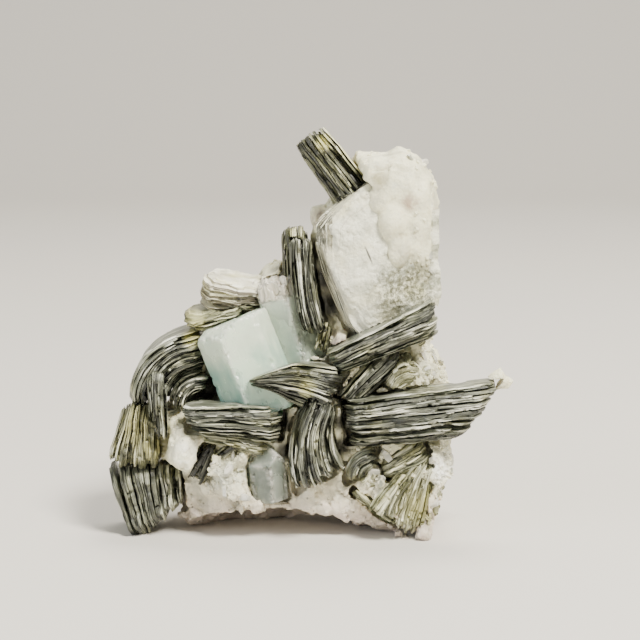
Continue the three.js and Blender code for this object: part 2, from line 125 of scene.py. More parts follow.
REAR_BOOKS = (
    dict(
        node="muscovite_top_book", slot="muscovite_olive", at=(5.6, 1.0, 80.0), turn=(0, 52, 0),
        size=(19.6, 12, 8.6), splay=0.08,
    ),
    dict(
        node="muscovite_upright_book", slot="muscovite_grey", at=(-1.3, -3.5, 54.9), turn=(0, 82, 0),
        size=(21, 11, 5.2), bend=-22,
    ),
    dict(
        node="muscovite_left_foot_book", slot="muscovite_grey", finish="silver", at=(-35.1, 0.5, 8.6),
        turn=(0, 78, 0), size=(14, 20, 14.6), pitch=0.6, splay=-0.12, start_rake=3, end_rake=-5.5,
    ),
    dict(
        node="muscovite_left_book", slot="muscovite_olive", finish="mixed", at=(-38.0, 0.0, 21.8),
        turn=(0, 96, 0), size=(14.4, 20, 9.9), pitch=0.5, wave=1.8, splay=0.24,
    ),
    dict(
        node="muscovite_arch_book", slot="muscovite_grey", at=(-32.0, 4.0, 36.8), turn=(0, -45, 0),
        size=(20.2, 20, 10), bend=105,
    ),
    dict(
        node="muscovite_diagonal_book", slot="muscovite_grey", at=(12.8, -6.0, 35.4), turn=(0, -45, 0),
        size=(16.5, 11, 5.8), splay=0.25,
    ),
    dict(
        node="muscovite_cream_book", slot="muscovite_pale", at=(-16.8, 5.0, 52.8), turn=(8, 9, 0),
        size=(14.6, 14, 6.6), wave=3.0, dome=3.0,
    ),
    dict(
        node="muscovite_olive_book", slot="muscovite_olive", at=(-21.0, 3.0, 47.8), turn=(8, -12, 0),
        size=(14, 14, 4.4), dome=2.4,
    ),
    dict(
        node="muscovite_rear_upright_book", slot="muscovite_olive", at=(-3.0, 4.0, 59.0),
        turn=(0, 88, 0), size=(17, 11, 6), start_rake=-1.6,
    ),
)

SMALL_BOOKS = (
    dict(
        node="muscovite_back_book", slot="muscovite_olive", at=(4.0, 15.0, 33.0), turn=(0, 38, 0),
        size=(24, 12, 6.5), splay=0.15,
    ),
    dict(
        node="muscovite_inner_blades", slot="muscovite_pale", finish="silver", at=(-33.0, -7.0, 28.9),
        turn=(0, 89, 0), size=(15, 7, 4.2),
    ),
    dict(
        node="muscovite_shell_book", slot="muscovite_grey", finish="silver", at=(10.9, -9.0, 17.0),
        turn=(0, -45, 0), size=(8, 8, 4.2), bend=110,
    ),
    dict(
        node="muscovite_lower_right_book", slot="muscovite_grey", finish="mixed",
        at=(20.8, -7.5, 17.0), turn=(0, -28, 0), size=(11, 9, 5.4), splay=0.2,
    ),
    dict(
        node="muscovite_foot_spray", slot="muscovite_olive", finish="fan", at=(22.3, -8.0, 7.4),
        turn=(0, 102, 0), size=(13, 8, 5.4), splay=-0.2,
    ),
    dict(
        node="muscovite_lower_strip", slot="muscovite_grey", finish="mixed", at=(14.2, -8.0, 6.8),
        turn=(0, 37, 0), size=(12, 8, 2.4),
    ),
    dict(
        node="muscovite_dark_flake", slot="muscovite_dark", at=(-23.7, -8.5, 17.6), turn=(0, 110, 0),
        size=(7, 5, 2.4),
    ),
    dict(
        node="muscovite_rosette", slot="muscovite_olive", finish="fan", at=(18.8, -7.0, 38.0),
        turn=(15, -32, 0), size=(8.5, 8, 5.2), bend=50,
    ),
    dict(
        node="muscovite_small_fan", slot="muscovite_olive", at=(2.8, -4.6, 43.8), turn=(0, -75, 0),
        size=(7.4, 5, 3.2),
    ),
)

# Small books and fans of thin sheets grown over the matrix. They have no CAD node and are not seated.
FANS = (
    dict(
        node="muscovite_arch_lining", slot="muscovite_grey", at=(-27.2, -1.2, 32.0), turn=(0, -45, 0),
        size=(9.8, 9.0, 3.8), bend=125, dome=1.5,
    ),
    dict(
        node="muscovite_under_book", slot="muscovite_grey", finish="mixed", at=(-16.6, -9.4, 22.0),
        turn=(0, 10, 0), size=(15.0, 9.0, 3.2), splay=0.35, dome=2.0,
    ),
    dict(
        node="muscovite_dark_leaves", slot="muscovite_dark", at=(-23.0, -9.6, 16.8), turn=(0, 116, 0),
        size=(9.5, 4.5, 2.8), splay=0.3, dome=1.0,
    ),
    dict(
        node="muscovite_dark_corner", slot="muscovite_dark", at=(-18.6, -9.8, 19.4), turn=(0, 142, 0),
        size=(6.5, 4.5, 2.2), dome=1.0,
    ),
    dict(
        node="muscovite_pale_fan", slot="muscovite_olive", finish="fan", at=(22.8, -10.6, 10.2),
        turn=(0, 109, 0), size=(14.5, 6.0, 7.6), splay=0.32, bend=-24, wave=2.0,
    ),
    dict(
        node="muscovite_inner_fan", slot="muscovite_grey", finish="mixed", at=(18.2, -13.2, 10.6),
        turn=(0, 122, 0), size=(10.5, 5.0, 5.0), splay=0.35, bend=-26, wave=2.0,
    ),
    dict(
        node="muscovite_petals", slot="muscovite_olive", finish="fan", at=(19.8, -8.6, 36.4),
        turn=(0, -24, 0), size=(8.0, 5.5, 4.6), splay=0.2, bend=90, wave=2.0,
    ),
)

# The six-sided crystals: the foot of each, its lean to the right and back, its turn on its own axis, and
# the side and length of its prism. cuts are planes that take off a corner, each with the heading and the
# rise that it faces and its distance from the foot. broken is how deep the jagged top reaches.
AQUAMARINE = {
    "node": "aquamarine_crystal",
    "slot": "aquamarine",
    "finish": "aquamarine_etched",
    "at": (-9.1, -4.3, 27.1),
    "lean": (-22, 4),
    "spin": -22,
    "side": 9.0,
    "length": 22.0,
    "cuts": ((188, 45, 20.2), (248, 62, 21.6), (128, 40, 20.0)),
    "broken": 0.25,
}
REAR_AQUAMARINE = {
    "node": "aquamarine_rear_crystal",
    "slot": "aquamarine",
    "finish": "aquamarine_clouded",
    "at": (-2.0, 0.5, 37.5),
    "lean": (-15, 2),
    "spin": 8,
    "side": 6.4,
    "length": 20.0,
    "cuts": ((210, 50, 18.2), (330, 48, 17.4)),
    "broken": 2.2,
}
QUARTZ = {
    "node": "quartz_point",
    "slot": "quartz",
    "finish": "quartz_glassy",
    "at": (-9.0, -7.6, 8.6),
    "lean": (-5, -6),
    "spin": 12,
    "side": 4.6,
    "length": 13.6,
    "cuts": (
        (240, 46, 8.9),
        (300, 40, 9.7),
        (0, 46, 9.3),
        (60, 44, 9.8),
        (120, 46, 9.3),
        (180, 42, 9.2),
    ),
    "broken": 0.0,
}

# Every seated piece, in the order in which they keep their form.
SEATING_ORDER = [
    *(book["node"] for book in FRONT_BOOKS),
    AQUAMARINE["node"],
    PLATE["node"],
    *(book["node"] for book in REAR_BOOKS),
    REAR_AQUAMARINE["node"],
    QUARTZ["node"],
    *(book["node"] for book in SMALL_BOOKS),
]


# ---- Helpers ------------------------------------------------------------------------------------------


def linear(code):
    """A colour written as sRGB hex, as the linear red, green and blue that Blender works in."""
    channels = [int(code[i : i + 2], 16) / 255 for i in (1, 3, 5)]
    return tuple(c / 12.92 if c <= 0.04045 else ((c + 0.055) / 1.055) ** 2.4 for c in channels)


def opaque(colour):
    """A colour with the fourth number that a node's socket takes."""
    return (*colour, 1.0)


def paint(code):
    """A colour written as sRGB hex, for a node's socket."""
    return opaque(linear(code))


def socket_of(sockets, key):
    """A socket by its place, or by its name among the ones that the node's settings leave in use."""
    if isinstance(key, int):
        return sockets[key]
    return next(s for s in sockets if s.enabled and s.name == key)


def plug(node, inputs):
    """Sets a node's inputs to a value, another node's socket, or a node, for its first output.

    From and To stand for the two ends of a range, and take a pair.
    """
    for key, value in inputs.items():
        if key in ("From", "To"):
            plug(node, {key + " Min": value[0], key + " Max": value[1]})
            continue
        if isinstance(value, bpy.types.Node):
            value = next(s for s in value.outputs if s.enabled)
        if isinstance(value, bpy.types.NodeSocket):
            node.id_data.links.new(value, socket_of(node.inputs, key))
        else:
            socket_of(node.inputs, key).default_value = value


def add_node(tree, kind, inputs=None, **settings):
    """Adds a node with its settings and its inputs."""
    node = tree.nodes.new(kind)
    for name, value in settings.items():
        setattr(node, name, value)
    plug(node, inputs or {})
    return node


def new_material(name):
    """A material, its shader, and the function that adds a node to it."""
    material = bpy.data.materials.new(name)
    material.use_nodes = True
    tree = material.node_tree
    return material, tree.nodes["Principled BSDF"], partial(add_node, tree)


def new_tree(name, sockets):
    """A geometry-node tree, its named inputs, and the function that adds a node to it."""
    tree = bpy.data.node_groups.new(name, "GeometryNodeTree")
    tree.interface.new_socket("Geometry", in_out="INPUT", socket_type="NodeSocketGeometry")
    for label, kind in sockets.items():
        tree.interface.new_socket(label, in_out="INPUT", socket_type="NodeSocket" + kind)
    tree.interface.new_socket("Geometry", in_out="OUTPUT", socket_type="NodeSocketGeometry")
    add = partial(add_node, tree)
    return tree, add("NodeGroupInput").outputs, add


def in_millimetres(add, kind, output):
    """The place that a node gives in metres, in millimetres."""
    place = add(kind).outputs[output]
    return add("ShaderNodeVectorMath", {0: place, "Scale": 1 / MM}, operation="SCALE")


def displaced(add, geometry, height, material):
    """Moves a surface out by a height in millimetres, keeps the height as "relief" and sets the material."""
    kept = add(
        "GeometryNodeStoreNamedAttribute",
        {"Geometry": geometry, "Name": "relief", "Value": height},
        data_type="FLOAT",
        domain="POINT",
    )
    metres = add("ShaderNodeMath", {0: height, 1: MM}, operation="MULTIPLY")
    offset = add(
        "ShaderNodeVectorMath", {0: add("GeometryNodeInputNormal"), "Scale": metres}, operation="SCALE"
    )
    moved = add("GeometryNodeSetPosition", {"Geometry": kept, "Offset": offset})
    return add("GeometryNodeSetMaterial", {"Geometry": moved, "Material": material})


def baked(carrier):
    """Turns an object and its modifiers into an object with a plain mesh."""
    graph = bpy.context.evaluated_depsgraph_get()
    mesh = bpy.data.meshes.new_from_object(
        carrier.evaluated_get(graph), preserve_all_data_layers=True, depsgraph=graph
    )
    carrier.modifiers.clear()
    carrier.data = mesh
    return carrier


def new_object(name, mesh):
    """Links a mesh to the scene as an object at the origin."""
    made = bpy.data.objects.new(name, mesh)
    bpy.context.scene.collection.objects.link(made)
    return made


def grown(name, mesh, tree, values):
    """Runs a geometry-node tree on a mesh, with its named inputs set, and bakes the result."""
    carrier = new_object(name, mesh)
    modifier = carrier.modifiers.new(tree.name, "NODES")
    modifier.node_group = tree
    sockets = [s for s in tree.interface.items_tree if s.in_out == "INPUT"]
    identifiers = {s.name: s.identifier for s in sockets}
    for label, value in values.items():
        modifier[identifiers[label]] = value
    return baked(carrier)


def made_mesh(shape, name):
    """Turns a bmesh into a mesh and frees it."""
    mesh = bpy.data.meshes.new(name)
    shape.to_mesh(mesh)
    shape.free()
    return mesh


def cad_copy(node):
    """A closed copy of a CAD node's mesh, its loose triangles joined."""
    shape = bmesh.new()
    shape.from_mesh(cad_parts[node].data)
    bmesh.ops.remove_doubles(shape, verts=shape.verts, dist=1e-7)
    mesh = made_mesh(shape, node + "_form")
    mesh.materials.clear()
    for layer in list(mesh.uv_layers):
        mesh.uv_layers.remove(layer)
    return mesh


def hull_of(node, room):
    """The convex hull of a CAD node, a little larger all round."""
    shape = bmesh.new()
    shape.from_mesh(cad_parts[node].data)
    bmesh.ops.remove_doubles(shape, verts=shape.verts, dist=1e-6)
    made = bmesh.ops.convex_hull(shape, input=shape.verts)
    inner = {*made["geom_interior"], *made["geom_unused"]}
    bmesh.ops.delete(shape, geom=[v for v in inner if isinstance(v, bmesh.types.BMVert)], context="VERTS")
    keep = {f for f in made["geom"] if isinstance(f, bmesh.types.BMFace)}
    bmesh.ops.delete(shape, geom=[f for f in shape.faces if f not in keep], context="FACES")
    bmesh.ops.recalc_face_normals(shape, faces=shape.faces)
    shape.normal_update()
    for vertex in shape.verts:
        vertex.co += vertex.normal * room
    return made_mesh(shape, node + "_hull")


def even_mesh(name, mesh, step, softening=0):
    """A mesh of the same form with faces of one size, its edges softened a number of times."""
    form = new_object(name + "_form", mesh)
    remesh = form.modifiers.new("even_mesh", "REMESH")
    remesh.mode = "VOXEL"
    remesh.voxel_size = step
    if softening:
        form.modifiers.new("softened_edges", "SMOOTH").iterations = softening
    mesh = baked(form).data
    bpy.data.objects.remove(form)
    return mesh


def boxes_meet(a, b):
    """Whether the boxes of two CAD nodes overlap."""
    (a_low, a_high), (b_low, b_high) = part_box(a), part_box(b)
    return all(a_low[i] < b_high[i] and b_low[i] < a_high[i] for i in range(3))


def seated(piece, node):
    """Cuts a piece back to the reach of its CAD node and by the pieces that were seated before it."""
    tools = [new_object(node + "_hull", hull_of(node, room=0.7 * MM))]
    earlier = SEATING_ORDER[: SEATING_ORDER.index(node)]
    tools += [new_object(n + "_cutter", cad_copy(n)) for n in earlier if boxes_meet(n, node)]
    for tool in tools:
        modifier = piece.modifiers.new(tool.name, "BOOLEAN")
        modifier.solver = "MANIFOLD"
        modifier.operation = "INTERSECT" if tool is tools[0] else "DIFFERENCE"
        modifier.object = tool
    baked(piece)
    for tool in tools:
        bpy.data.objects.remove(tool)
    return piece


def points_of(mesh):
    """A mesh's vertices as an array of rows."""
    flat = np.empty(len(mesh.vertices) * 3)
    mesh.vertices.foreach_get("co", flat)
    return flat.reshape(-1, 3)


def store_vectors(mesh, name, rows):
    """Keeps a vector at each vertex under a name that materials can read."""
    layer = mesh.attributes.get(name) or mesh.attributes.new(name, "FLOAT_VECTOR", "POINT")
    layer.data.foreach_set("vector", np.ascontiguousarray(rows, dtype=np.float32).ravel())


def store_values(mesh, name, values, domain="POINT"):
    """Keeps a number at each vertex or face under a name that node trees and materials can read."""
    layer = mesh.attributes.get(name) or mesh.attributes.new(name, "FLOAT", domain)
    layer.data.foreach_set("value", values)


def level_foot(mesh):
    """Keeps a mesh above the surface that the specimen stands on."""
    rows = points_of(mesh)
    rows[:, 2] = np.maximum(rows[:, 2], 0.0)
    mesh.vertices.foreach_set("co", rows.ravel())


def dress(piece, material):
    """Gives a piece its material, and lets it ride on the specimen."""
    piece.data.materials.clear()
    piece.data.materials.append(material)
    for face in piece.data.polygons:
        face.material_index = 0
    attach(piece, "root")


# ---- Muscovite ----------------------------------------------------------------------------------------


def book_place(book):
    """Where a book stands: its own axes, in millimetres, to the specimen's frame in metres."""
    turn_x, turn_y, turn_z = (math.radians(a) for a in book["turn"])
    turned = (
        Matrix.Rotation(turn_z, 4, "Z") @ Matrix.Rotation(turn_y, 4, "Y") @ Matrix.Rotation(turn_x, 4, "X")
    )
    return Matrix.Scale(MM, 4) @ Matrix.Translation(Vector(book["at"]) - ORIGIN) @ turned


def curled(book, rows):
    """Rakes the ends of a flat stack of leaves, opens it and curls it."""
    length, depth, thickness = book["size"]
    u, v, w = rows.T
    t = w / thickness + 0.5
    start = -length / 2 + book.get("start_rake", 0) * (t - 0.5)
    end = length / 2 + book.get("end_rake", 0) * (t - 0.5)
    if "columns" in book:
        across, lower, upper = np.array(book["columns"], float).T
        low, high = np.interp(u, across, lower), np.interp(u, across, upper)
        v = low + (high - low) * (v / depth + 0.5)
    u = start + (end - start) * (u / length + 0.5)
    w = w * (1 + book.get("splay", 0) * 2 * u / length)
    bend = math.radians(book.get("bend", 0))
    if not bend:
        return np.column_stack([u, v, w])
    radius = length / bend
    angle = u / radius
    return np.column_stack([(radius + w) * np.sin(angle), v, (radius + w) * np.cos(angle) - radius])


def leaf_stack_tree():
    """The tree that stacks the leaves of a book: ragged six-sided sheets, some of them set back."""
    tree, given, add = new_tree(
        "mica_leaf_stack",
        {
            "Length": "Float",
            "Depth": "Float",
            "Thickness": "Float",
            "Leaves": "Int",
            "Along": "Int",
            "Across": "Int",
            "Corner": "Float",
            "Dome": "Float",
            "Pinch": "Float",
            "Terrace": "Float",
            "Fray": "Float",
            "Wave": "Float",
            "Set Back": "Float",
            "Chip": "Float",
            "Ragged Ends": "Float",
            "Seed": "Int",
            "Mica": "Material",
        },
    )

    # One leaf: a unit slab whose two broad faces are marked as cleavage.
    leaf = add(
        "GeometryNodeMeshCube",
        {"Size": (1, 1, 1), "Vertices X": given["Along"], "Vertices Y": given["Across"], "Vertices Z": 2},
    )
    facing = add("ShaderNodeSeparateXYZ", {0: add("GeometryNodeInputNormal")})
    broad = add("ShaderNodeMath", {0: facing.outputs["Z"]}, operation="ABSOLUTE")
    marked = add(
        "GeometryNodeStoreNamedAttribute",
        {"Geometry": leaf, "Name": "cleavage", "Value": broad},
        data_type="FLOAT",
        domain="FACE",
    )

    # The stack, each leaf with its number.
    points = add("GeometryNodePoints", {"Count": given["Leaves"]})
    stacked = add("GeometryNodeInstanceOnPoints", {"Points": points, "Instance": marked})
    numbered = add(
        "GeometryNodeStoreNamedAttribute",
        {"Geometry": stacked, "Name": "leaf", "Value": add("GeometryNodeInputIndex")},
        data_type="INT",
        domain="INSTANCE",
    )
    real = add("GeometryNodeRealizeInstances", {"Geometry": numbered})

    # Where a vertex is in its leaf, from -0.5 to 0.5 along and across, and its joint with the next leaf.
    place = add("ShaderNodeSeparateXYZ", {0: add("GeometryNodeInputPosition")})
    along, across, up = place.outputs
    number = add("GeometryNodeInputNamedAttribute", {"Name": "leaf"}, data_type="INT")
    upper = add("ShaderNodeMath", {0: up, 1: 0.5}, operation="ADD")
    joint = add("ShaderNodeMath", {0: number, 1: upper}, operation="ADD")
    u = add("ShaderNodeMath", {0: along, 1: given["Length"]}, operation="MULTIPLY")
    v = add("ShaderNodeMath", {0: across, 1: given["Depth"]}, operation="MULTIPLY")
    slow_u = add("ShaderNodeMath", {0: u, 1: 0.07}, operation="MULTIPLY")
    salt = add("ShaderNodeMath", {0: given["Seed"], 1: 17.3}, operation="MULTIPLY")

    # Height of the joint: uneven leaves that undulate together, with a gap that opens and closes.
    uneven = add(
        "FunctionNodeRandomValue",
        {"Min": -0.38, "Max": 0.38, "ID": joint, "Seed": given["Seed"]},
        data_type="FLOAT",
    )
    level = add("ShaderNodeMath", {0: joint, 1: uneven}, operation="ADD")
    share = add("ShaderNodeMath", {0: level, 1: given["Leaves"]}, operation="DIVIDE", use_clamp=True)
    centred = add("ShaderNodeMath", {0: share, 1: 0.5}, operation="SUBTRACT")
    height = add("ShaderNodeMath", {0: centred, 1: given["Thickness"]}, operation="MULTIPLY")
    drift = add("ShaderNodeMath", {0: joint, 1: 1.3, 2: salt}, operation="MULTIPLY_ADD")
    wave_at = add("ShaderNodeCombineXYZ", {"X": u, "Y": v, "Z": drift})
    wave = add("ShaderNodeTexNoise", {"Vector": wave_at, "Scale": 0.11, "Detail": 1.5})
    swing = add("ShaderNodeMath", {0: wave, 1: 0.5}, operation="SUBTRACT")
    lifted = add("ShaderNodeMath", {0: swing, 1: given["Wave"], 2: height}, operation="MULTIPLY_ADD")
    leaf_salt = add("ShaderNodeMath", {0: number, 1: 6.7, 2: salt}, operation="MULTIPLY_ADD")
    gap_at = add("ShaderNodeCombineXYZ", {"X": u, "Y": v, "Z": leaf_salt})
    opening = add("ShaderNodeTexNoise", {"Vector": gap_at, "Scale": 0.16, "Detail": 1.0})
    pitch = add("ShaderNodeMath", {0: given["Thickness"], 1: given["Leaves"]}, operation="DIVIDE")
    gap_share = add("ShaderNodeMapRange", {"Value": opening, "From": (0.4, 0.65), "To": (0.08, 0.5)})
    gap = add("ShaderNodeMath", {0: gap_share, 1: pitch}, operation="MULTIPLY")
    lowered = add("ShaderNodeMath", {0: gap, 1: upper}, operation="MULTIPLY")
    full_w = add("ShaderNodeMath", {0: lifted, 1: lowered}, operation="SUBTRACT")
    from_start = add("ShaderNodeMapRange", {"Value": along, "From": (-0.5, -0.05)})
    thinned = add("ShaderNodeMapRange", {"Value": from_start, "To": (given["Pinch"], 1.0)})
    w = add("ShaderNodeMath", {0: full_w, 1: thinned}, operation="MULTIPLY")

    # How far the leaf is set back here: most leaves keep to the outline, some retreat into a dark groove.
    groove_at = add("ShaderNodeCombineXYZ", {"X": u, "Y": across, "Z": leaf_salt})
    groove_noise = add("ShaderNodeTexNoise", {"Vector": groove_at, "Scale": 0.09, "Detail": 1.5})
    lot = add(
        "FunctionNodeRandomValue",
        {"Min": -0.32, "Max": 0.32, "ID": number, "Seed": given["Seed"]},
        data_type="FLOAT",
    )
    retreat = add("ShaderNodeMath", {0: groove_noise, 1: lot}, operation="ADD")
    hidden = add(
        "ShaderNodeMapRange", {"Value": retreat, "From": (0.56, 0.66)}, interpolation_type="SMOOTHSTEP"
    )
    back_off = add("ShaderNodeMath", {0: hidden, 1: given["Set Back"]}, operation="MULTIPLY")

    # Leaves keep together in packets, which stand at different depths.
    packet_salt = add("ShaderNodeMath", {0: number, 1: 0.42, 2: salt}, operation="MULTIPLY_ADD")
    packet_at = add("ShaderNodeCombineXYZ", {"X": slow_u, "Y": across, "Z": packet_salt})
    packets = add("ShaderNodeTexNoise", {"Vector": packet_at, "Scale": 1.0, "Detail": 1.0})
    packet = add(
        "ShaderNodeMapRange",
        {"Value": packets, "From": (0.35, 0.65), "To Max": given["Set Back"]},
        interpolation_type="SMOOTHSTEP",
    )
    in_packet = add("ShaderNodeMath", {0: packet, 1: 0.6, 2: back_off}, operation="MULTIPLY_ADD")

    # The outer leaves are smaller, each by its own amount, so the book's broad faces are terraced.
    outward = add("ShaderNodeMath", {0: centred, 1: 2.0}, operation="MULTIPLY")
    outer = add("ShaderNodeMath", {0: outward, 1: 4.0}, operation="POWER")
    stop = add(
        "FunctionNodeRandomValue",
        {"Min": 0.25, "Max": 1.0, "ID": number, "Seed": given["Seed"]},
        data_type="FLOAT",
    )
    short = add("ShaderNodeMath", {0: stop, 1: outer}, operation="MULTIPLY")
    domed = add("ShaderNodeMath", {0: short, 1: given["Dome"], 2: in_packet}, operation="MULTIPLY_ADD")

    # The ragged edge itself, finer than the grooves. It wanders to both sides of the outline.
    ragged = add("ShaderNodeTexNoise", {"Vector": gap_at, "Scale": 0.38, "Detail": 2.0, "Roughness": 0.6})
    wander = add("ShaderNodeMath", {0: ragged, 1: 0.55}, operation="SUBTRACT")
    fray = add("ShaderNodeMath", {0: wander, 1: given["Fray"]}, operation="MULTIPLY")

    # Chips along the edge of a leaf, each some 2 mm long, different ones at the front and at the back.
    behind = add("ShaderNodeMath", {0: across, 1: 0.0}, operation="GREATER_THAN")
    side_salt = add("ShaderNodeMath", {0: behind, 1: 51.0, 2: leaf_salt}, operation="MULTIPLY_ADD")
    chip_at = add("ShaderNodeCombineXYZ", {"X": u, "Z": side_salt})
    chips = add("ShaderNodeTexVoronoi", {"Vector": chip_at, "Scale": 0.5})
    chip_lot = add("ShaderNodeSeparateXYZ", {0: chips.outputs["Color"]})
    chipped = add("ShaderNodeMapRange", {"Value": chip_lot, "From Min": 0.5, "To Max": given["Chip"]})
    frayed = add("ShaderNodeMath", {0: chipped, 1: fray}, operation="ADD")
    side_loss = add("ShaderNodeMath", {0: domed, 1: frayed}, operation="ADD")

    # Each leaf also ends at a place of its own at either end of the book.
    far = add("ShaderNodeMath", {0: along, 1: 0.0}, operation="GREATER_THAN")
    end_number = add("ShaderNodeMath", {0: far, 1: 1000.0, 2: number}, operation="MULTIPLY_ADD")
    draw = add(
        "FunctionNodeRandomValue",
        {"Min": 0.0, "Max": 1.0, "ID": end_number, "Seed": given["Seed"]},
        data_type="FLOAT",
    )
    drawn = add("ShaderNodeMath", {0: draw, 1: 2.5}, operation="POWER")
    stub = add("ShaderNodeMath", {0: drawn, 1: given["Ragged Ends"], 2: fray}, operation="MULTIPLY_ADD")
    end_loss = add("ShaderNodeMath", {0: domed, 1: 0.3, 2: stub}, operation="MULTIPLY_ADD")

    # Terraces: the outermost leaves stop short of the start.
    at_start = add("ShaderNodeMapRange", {"Value": along, "From": (-0.5, 0.0), "To": (1.0, 0.0)})
    terraced = add("ShaderNodeMath", {0: short, 1: given["Terrace"]}, operation="MULTIPLY")
    stepped_back = add("ShaderNodeMath", {0: terraced, 1: at_start}, operation="MULTIPLY")

    # The six-sided outline, less the ragged edge.
    reach = add("ShaderNodeMath", {0: u}, operation="ABSOLUTE")
    half_length = add("ShaderNodeMath", {0: given["Length"], 1: 0.5}, operation="MULTIPLY")
    slope = add("ShaderNodeMath", {0: given["Corner"], 1: TIP_SLOPE}, operation="MULTIPLY")
    cut_from = add("ShaderNodeMath", {0: half_length, 1: slope}, operation="SUBTRACT")
    corner = add(
        "ShaderNodeMapRange", {"Value": reach, "From": (cut_from, half_length), "To Max": given["Corner"]}
    )
    half_depth = add("ShaderNodeMath", {0: given["Depth"], 1: 0.5}, operation="MULTIPLY")
    narrowed = add("ShaderNodeMath", {0: half_depth, 1: corner}, operation="SUBTRACT")
    side = add("ShaderNodeMath", {0: narrowed, 1: side_loss}, operation="SUBTRACT")
    end = add("ShaderNodeMath", {0: half_length, 1: end_loss}, operation="SUBTRACT")
    twice_along = add("ShaderNodeMath", {0: along, 1: 2.0}, operation="MULTIPLY")
    twice_across = add("ShaderNodeMath", {0: across, 1: 2.0}, operation="MULTIPLY")
    x = add("ShaderNodeMath", {0: twice_along, 1: end, 2: stepped_back}, operation="MULTIPLY_ADD")
    y = add("ShaderNodeMath", {0: twice_across, 1: side}, operation="MULTIPLY")

    # Light and dark leaves, which differ in tone at random, with painted shade on a leaf set back into a
    # groove and painted light on the outermost leaf; and where each point lies on its flat sheet, for the
    # material. They are kept before the leaves take their shape, while the positions are still those within
    # a leaf.
    shade = add(
        "FunctionNodeRandomValue",
        {"Min": -0.1, "Max": 1.1, "ID": number, "Seed": given["Seed"]},
        data_type="FLOAT",
    )
    # Painted shade: a leaf set back into a groove is darkened.
    groove_painted_shade = add("ShaderNodeMapRange", {"Value": hidden, "To": (1.0, 0.22)})
    tone_with_groove_shade = add("ShaderNodeMath", {0: shade, 1: groove_painted_shade}, operation="MULTIPLY")
    # Painted light: the outermost leaf is kept bright.
    last = add("ShaderNodeMath", {0: given["Leaves"], 1: 1.5}, operation="SUBTRACT")
    outermost = add("ShaderNodeMath", {0: number, 1: last}, operation="GREATER_THAN")
    outer_painted_light = add("ShaderNodeMath", {0: outermost, 1: 0.7}, operation="MULTIPLY")
    tone = add("ShaderNodeMath", {0: tone_with_groove_shade, 1: outer_painted_light}, operation="MAXIMUM")
    toned = add(
        "GeometryNodeStoreNamedAttribute",
        {"Geometry": real, "Name": "tone", "Value": tone},
        data_type="FLOAT",
        domain="POINT",
    )
    own_height = add("ShaderNodeMath", {0: height, 1: salt}, operation="ADD")
    own = add("ShaderNodeCombineXYZ", {"X": x, "Y": y, "Z": own_height})
    mapped = add(
        "GeometryNodeStoreNamedAttribute",
        {"Geometry": toned, "Name": "sheet", "Value": own},
        data_type="FLOAT_VECTOR",
        domain="POINT",
    )
    position = add("ShaderNodeCombineXYZ", {"X": x, "Y": y, "Z": w})
    shaped = add("GeometryNodeSetPosition", {"Geometry": mapped, "Position": position})
    finished = add("GeometryNodeSetMaterial", {"Geometry": shaped, "Material": given["Mica"]})
    add("NodeGroupOutput", {"Geometry": finished})
    return tree


def mica_book(book, tree, material, mica, seed):
    """Builds one book of leaves, curls it, sets it in its place and seats it among its neighbours."""
    length, depth, thickness = book["size"]
    stack = grown(
        book["node"] + "_leaves",
        bpy.data.meshes.new(book["node"]),
        tree,
        {
            "Length": float(length),
            "Depth": float(depth),
            "Thickness": float(thickness),
            "Leaves": max(4, round(thickness / book.get("pitch", mica.leaf_pitch))),
            "Along": max(12, round(length / mica.mesh_step)),
            "Across": max(4, round(depth / (6 * mica.mesh_step))),
            "Corner": 0.0 if "columns" in book else CORNER_CUT * depth,
            "Dome": float(book.get("dome", 5.0)),
            "Pinch": float(book.get("pinch", 1.0)),
            "Terrace": float(book.get("terrace", 1.0)),
            "Fray": mica.fray,
            "Wave": float(book.get("wave", mica.wave)),
            "Set Back": mica.set_back,
            "Chip": mica.chip,
            "Ragged Ends": mica.ragged_ends,
            "Seed": seed,
            "Mica": material,
        },
    )
    rows = curled(book, points_of(stack.data))
    stack.data.vertices.foreach_set("co", rows.ravel())
    stack.data.transform(book_place(book))
    has_node = book["node"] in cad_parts
    if has_node:
        seated(stack, book["node"])
    level_foot(stack.data)
    stack.data.shade_smooth()
    stack.data.set_sharp_from_angle(angle=math.radians(40))
    dress(stack, material)
    if has_node:
        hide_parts(book["node"])
    return stack


# The finishes of the mica: how plain its cleavage faces are, from lined to even; the colour of its leaf
# edges in full light, at the middle and deep in the grooves, as painted light and painted shade over leaves
# that differ in tone at random; that of its cleavage faces, and of their film.
MICA_FINISHES = {
    "muscovite_pale": (0.8, "#F7F4E2", "#D1CCB4", "#686150", "#ECEAD6", "#BEB9A0"),
    "muscovite_grey": (0.65, "#F3F2E1", "#777A69", "#22241B", "#6D7163", "#45483B"),
    "muscovite_olive": (0.75, "#EFECCC", "#7A7C5B", "#212317", "#96967A", "#66674C"),
    "silver": (0.75, "#F5F5E6", "#90937F", "#2D2F25", "#A3A694", "#70736A"),
    "fan": (0.6, "#FCFAE6", "#DEDDC2", "#8A8A6C", "#E2E1C6", "#B2B493"),
    "muscovite_dark": (0.6, "#C2C2AA", "#4C4D3E", "#16170F", "#55573F", "#35372A"),
    "mixed": (0.75, "#FAF7E0", "#BEBD9C", "#4A4B38", "#C7C8A8", "#979A78"),
    "plate": (1.0, "#DBD6C4", "#8E8A78", "#39382D", "#FBFAE4", "#E9E7D0"),
}

# Iron stain on the mica: x, z and radius of each spot, in millimetres.
STAIN_SPOTS = (
    (-38.0, 24.5, 5.0),
    (-33.5, 20.0, 4.0),
    (-25.6, 44.2, 3.0),
    (-28.6, 48.4, 3.6),
    (-12.5, 38.0, 3.0),
    (-2.2, 36.4, 3.4),
    (22.6, 54.8, 3.0),
    (24.5, 7.5, 4.5),
)


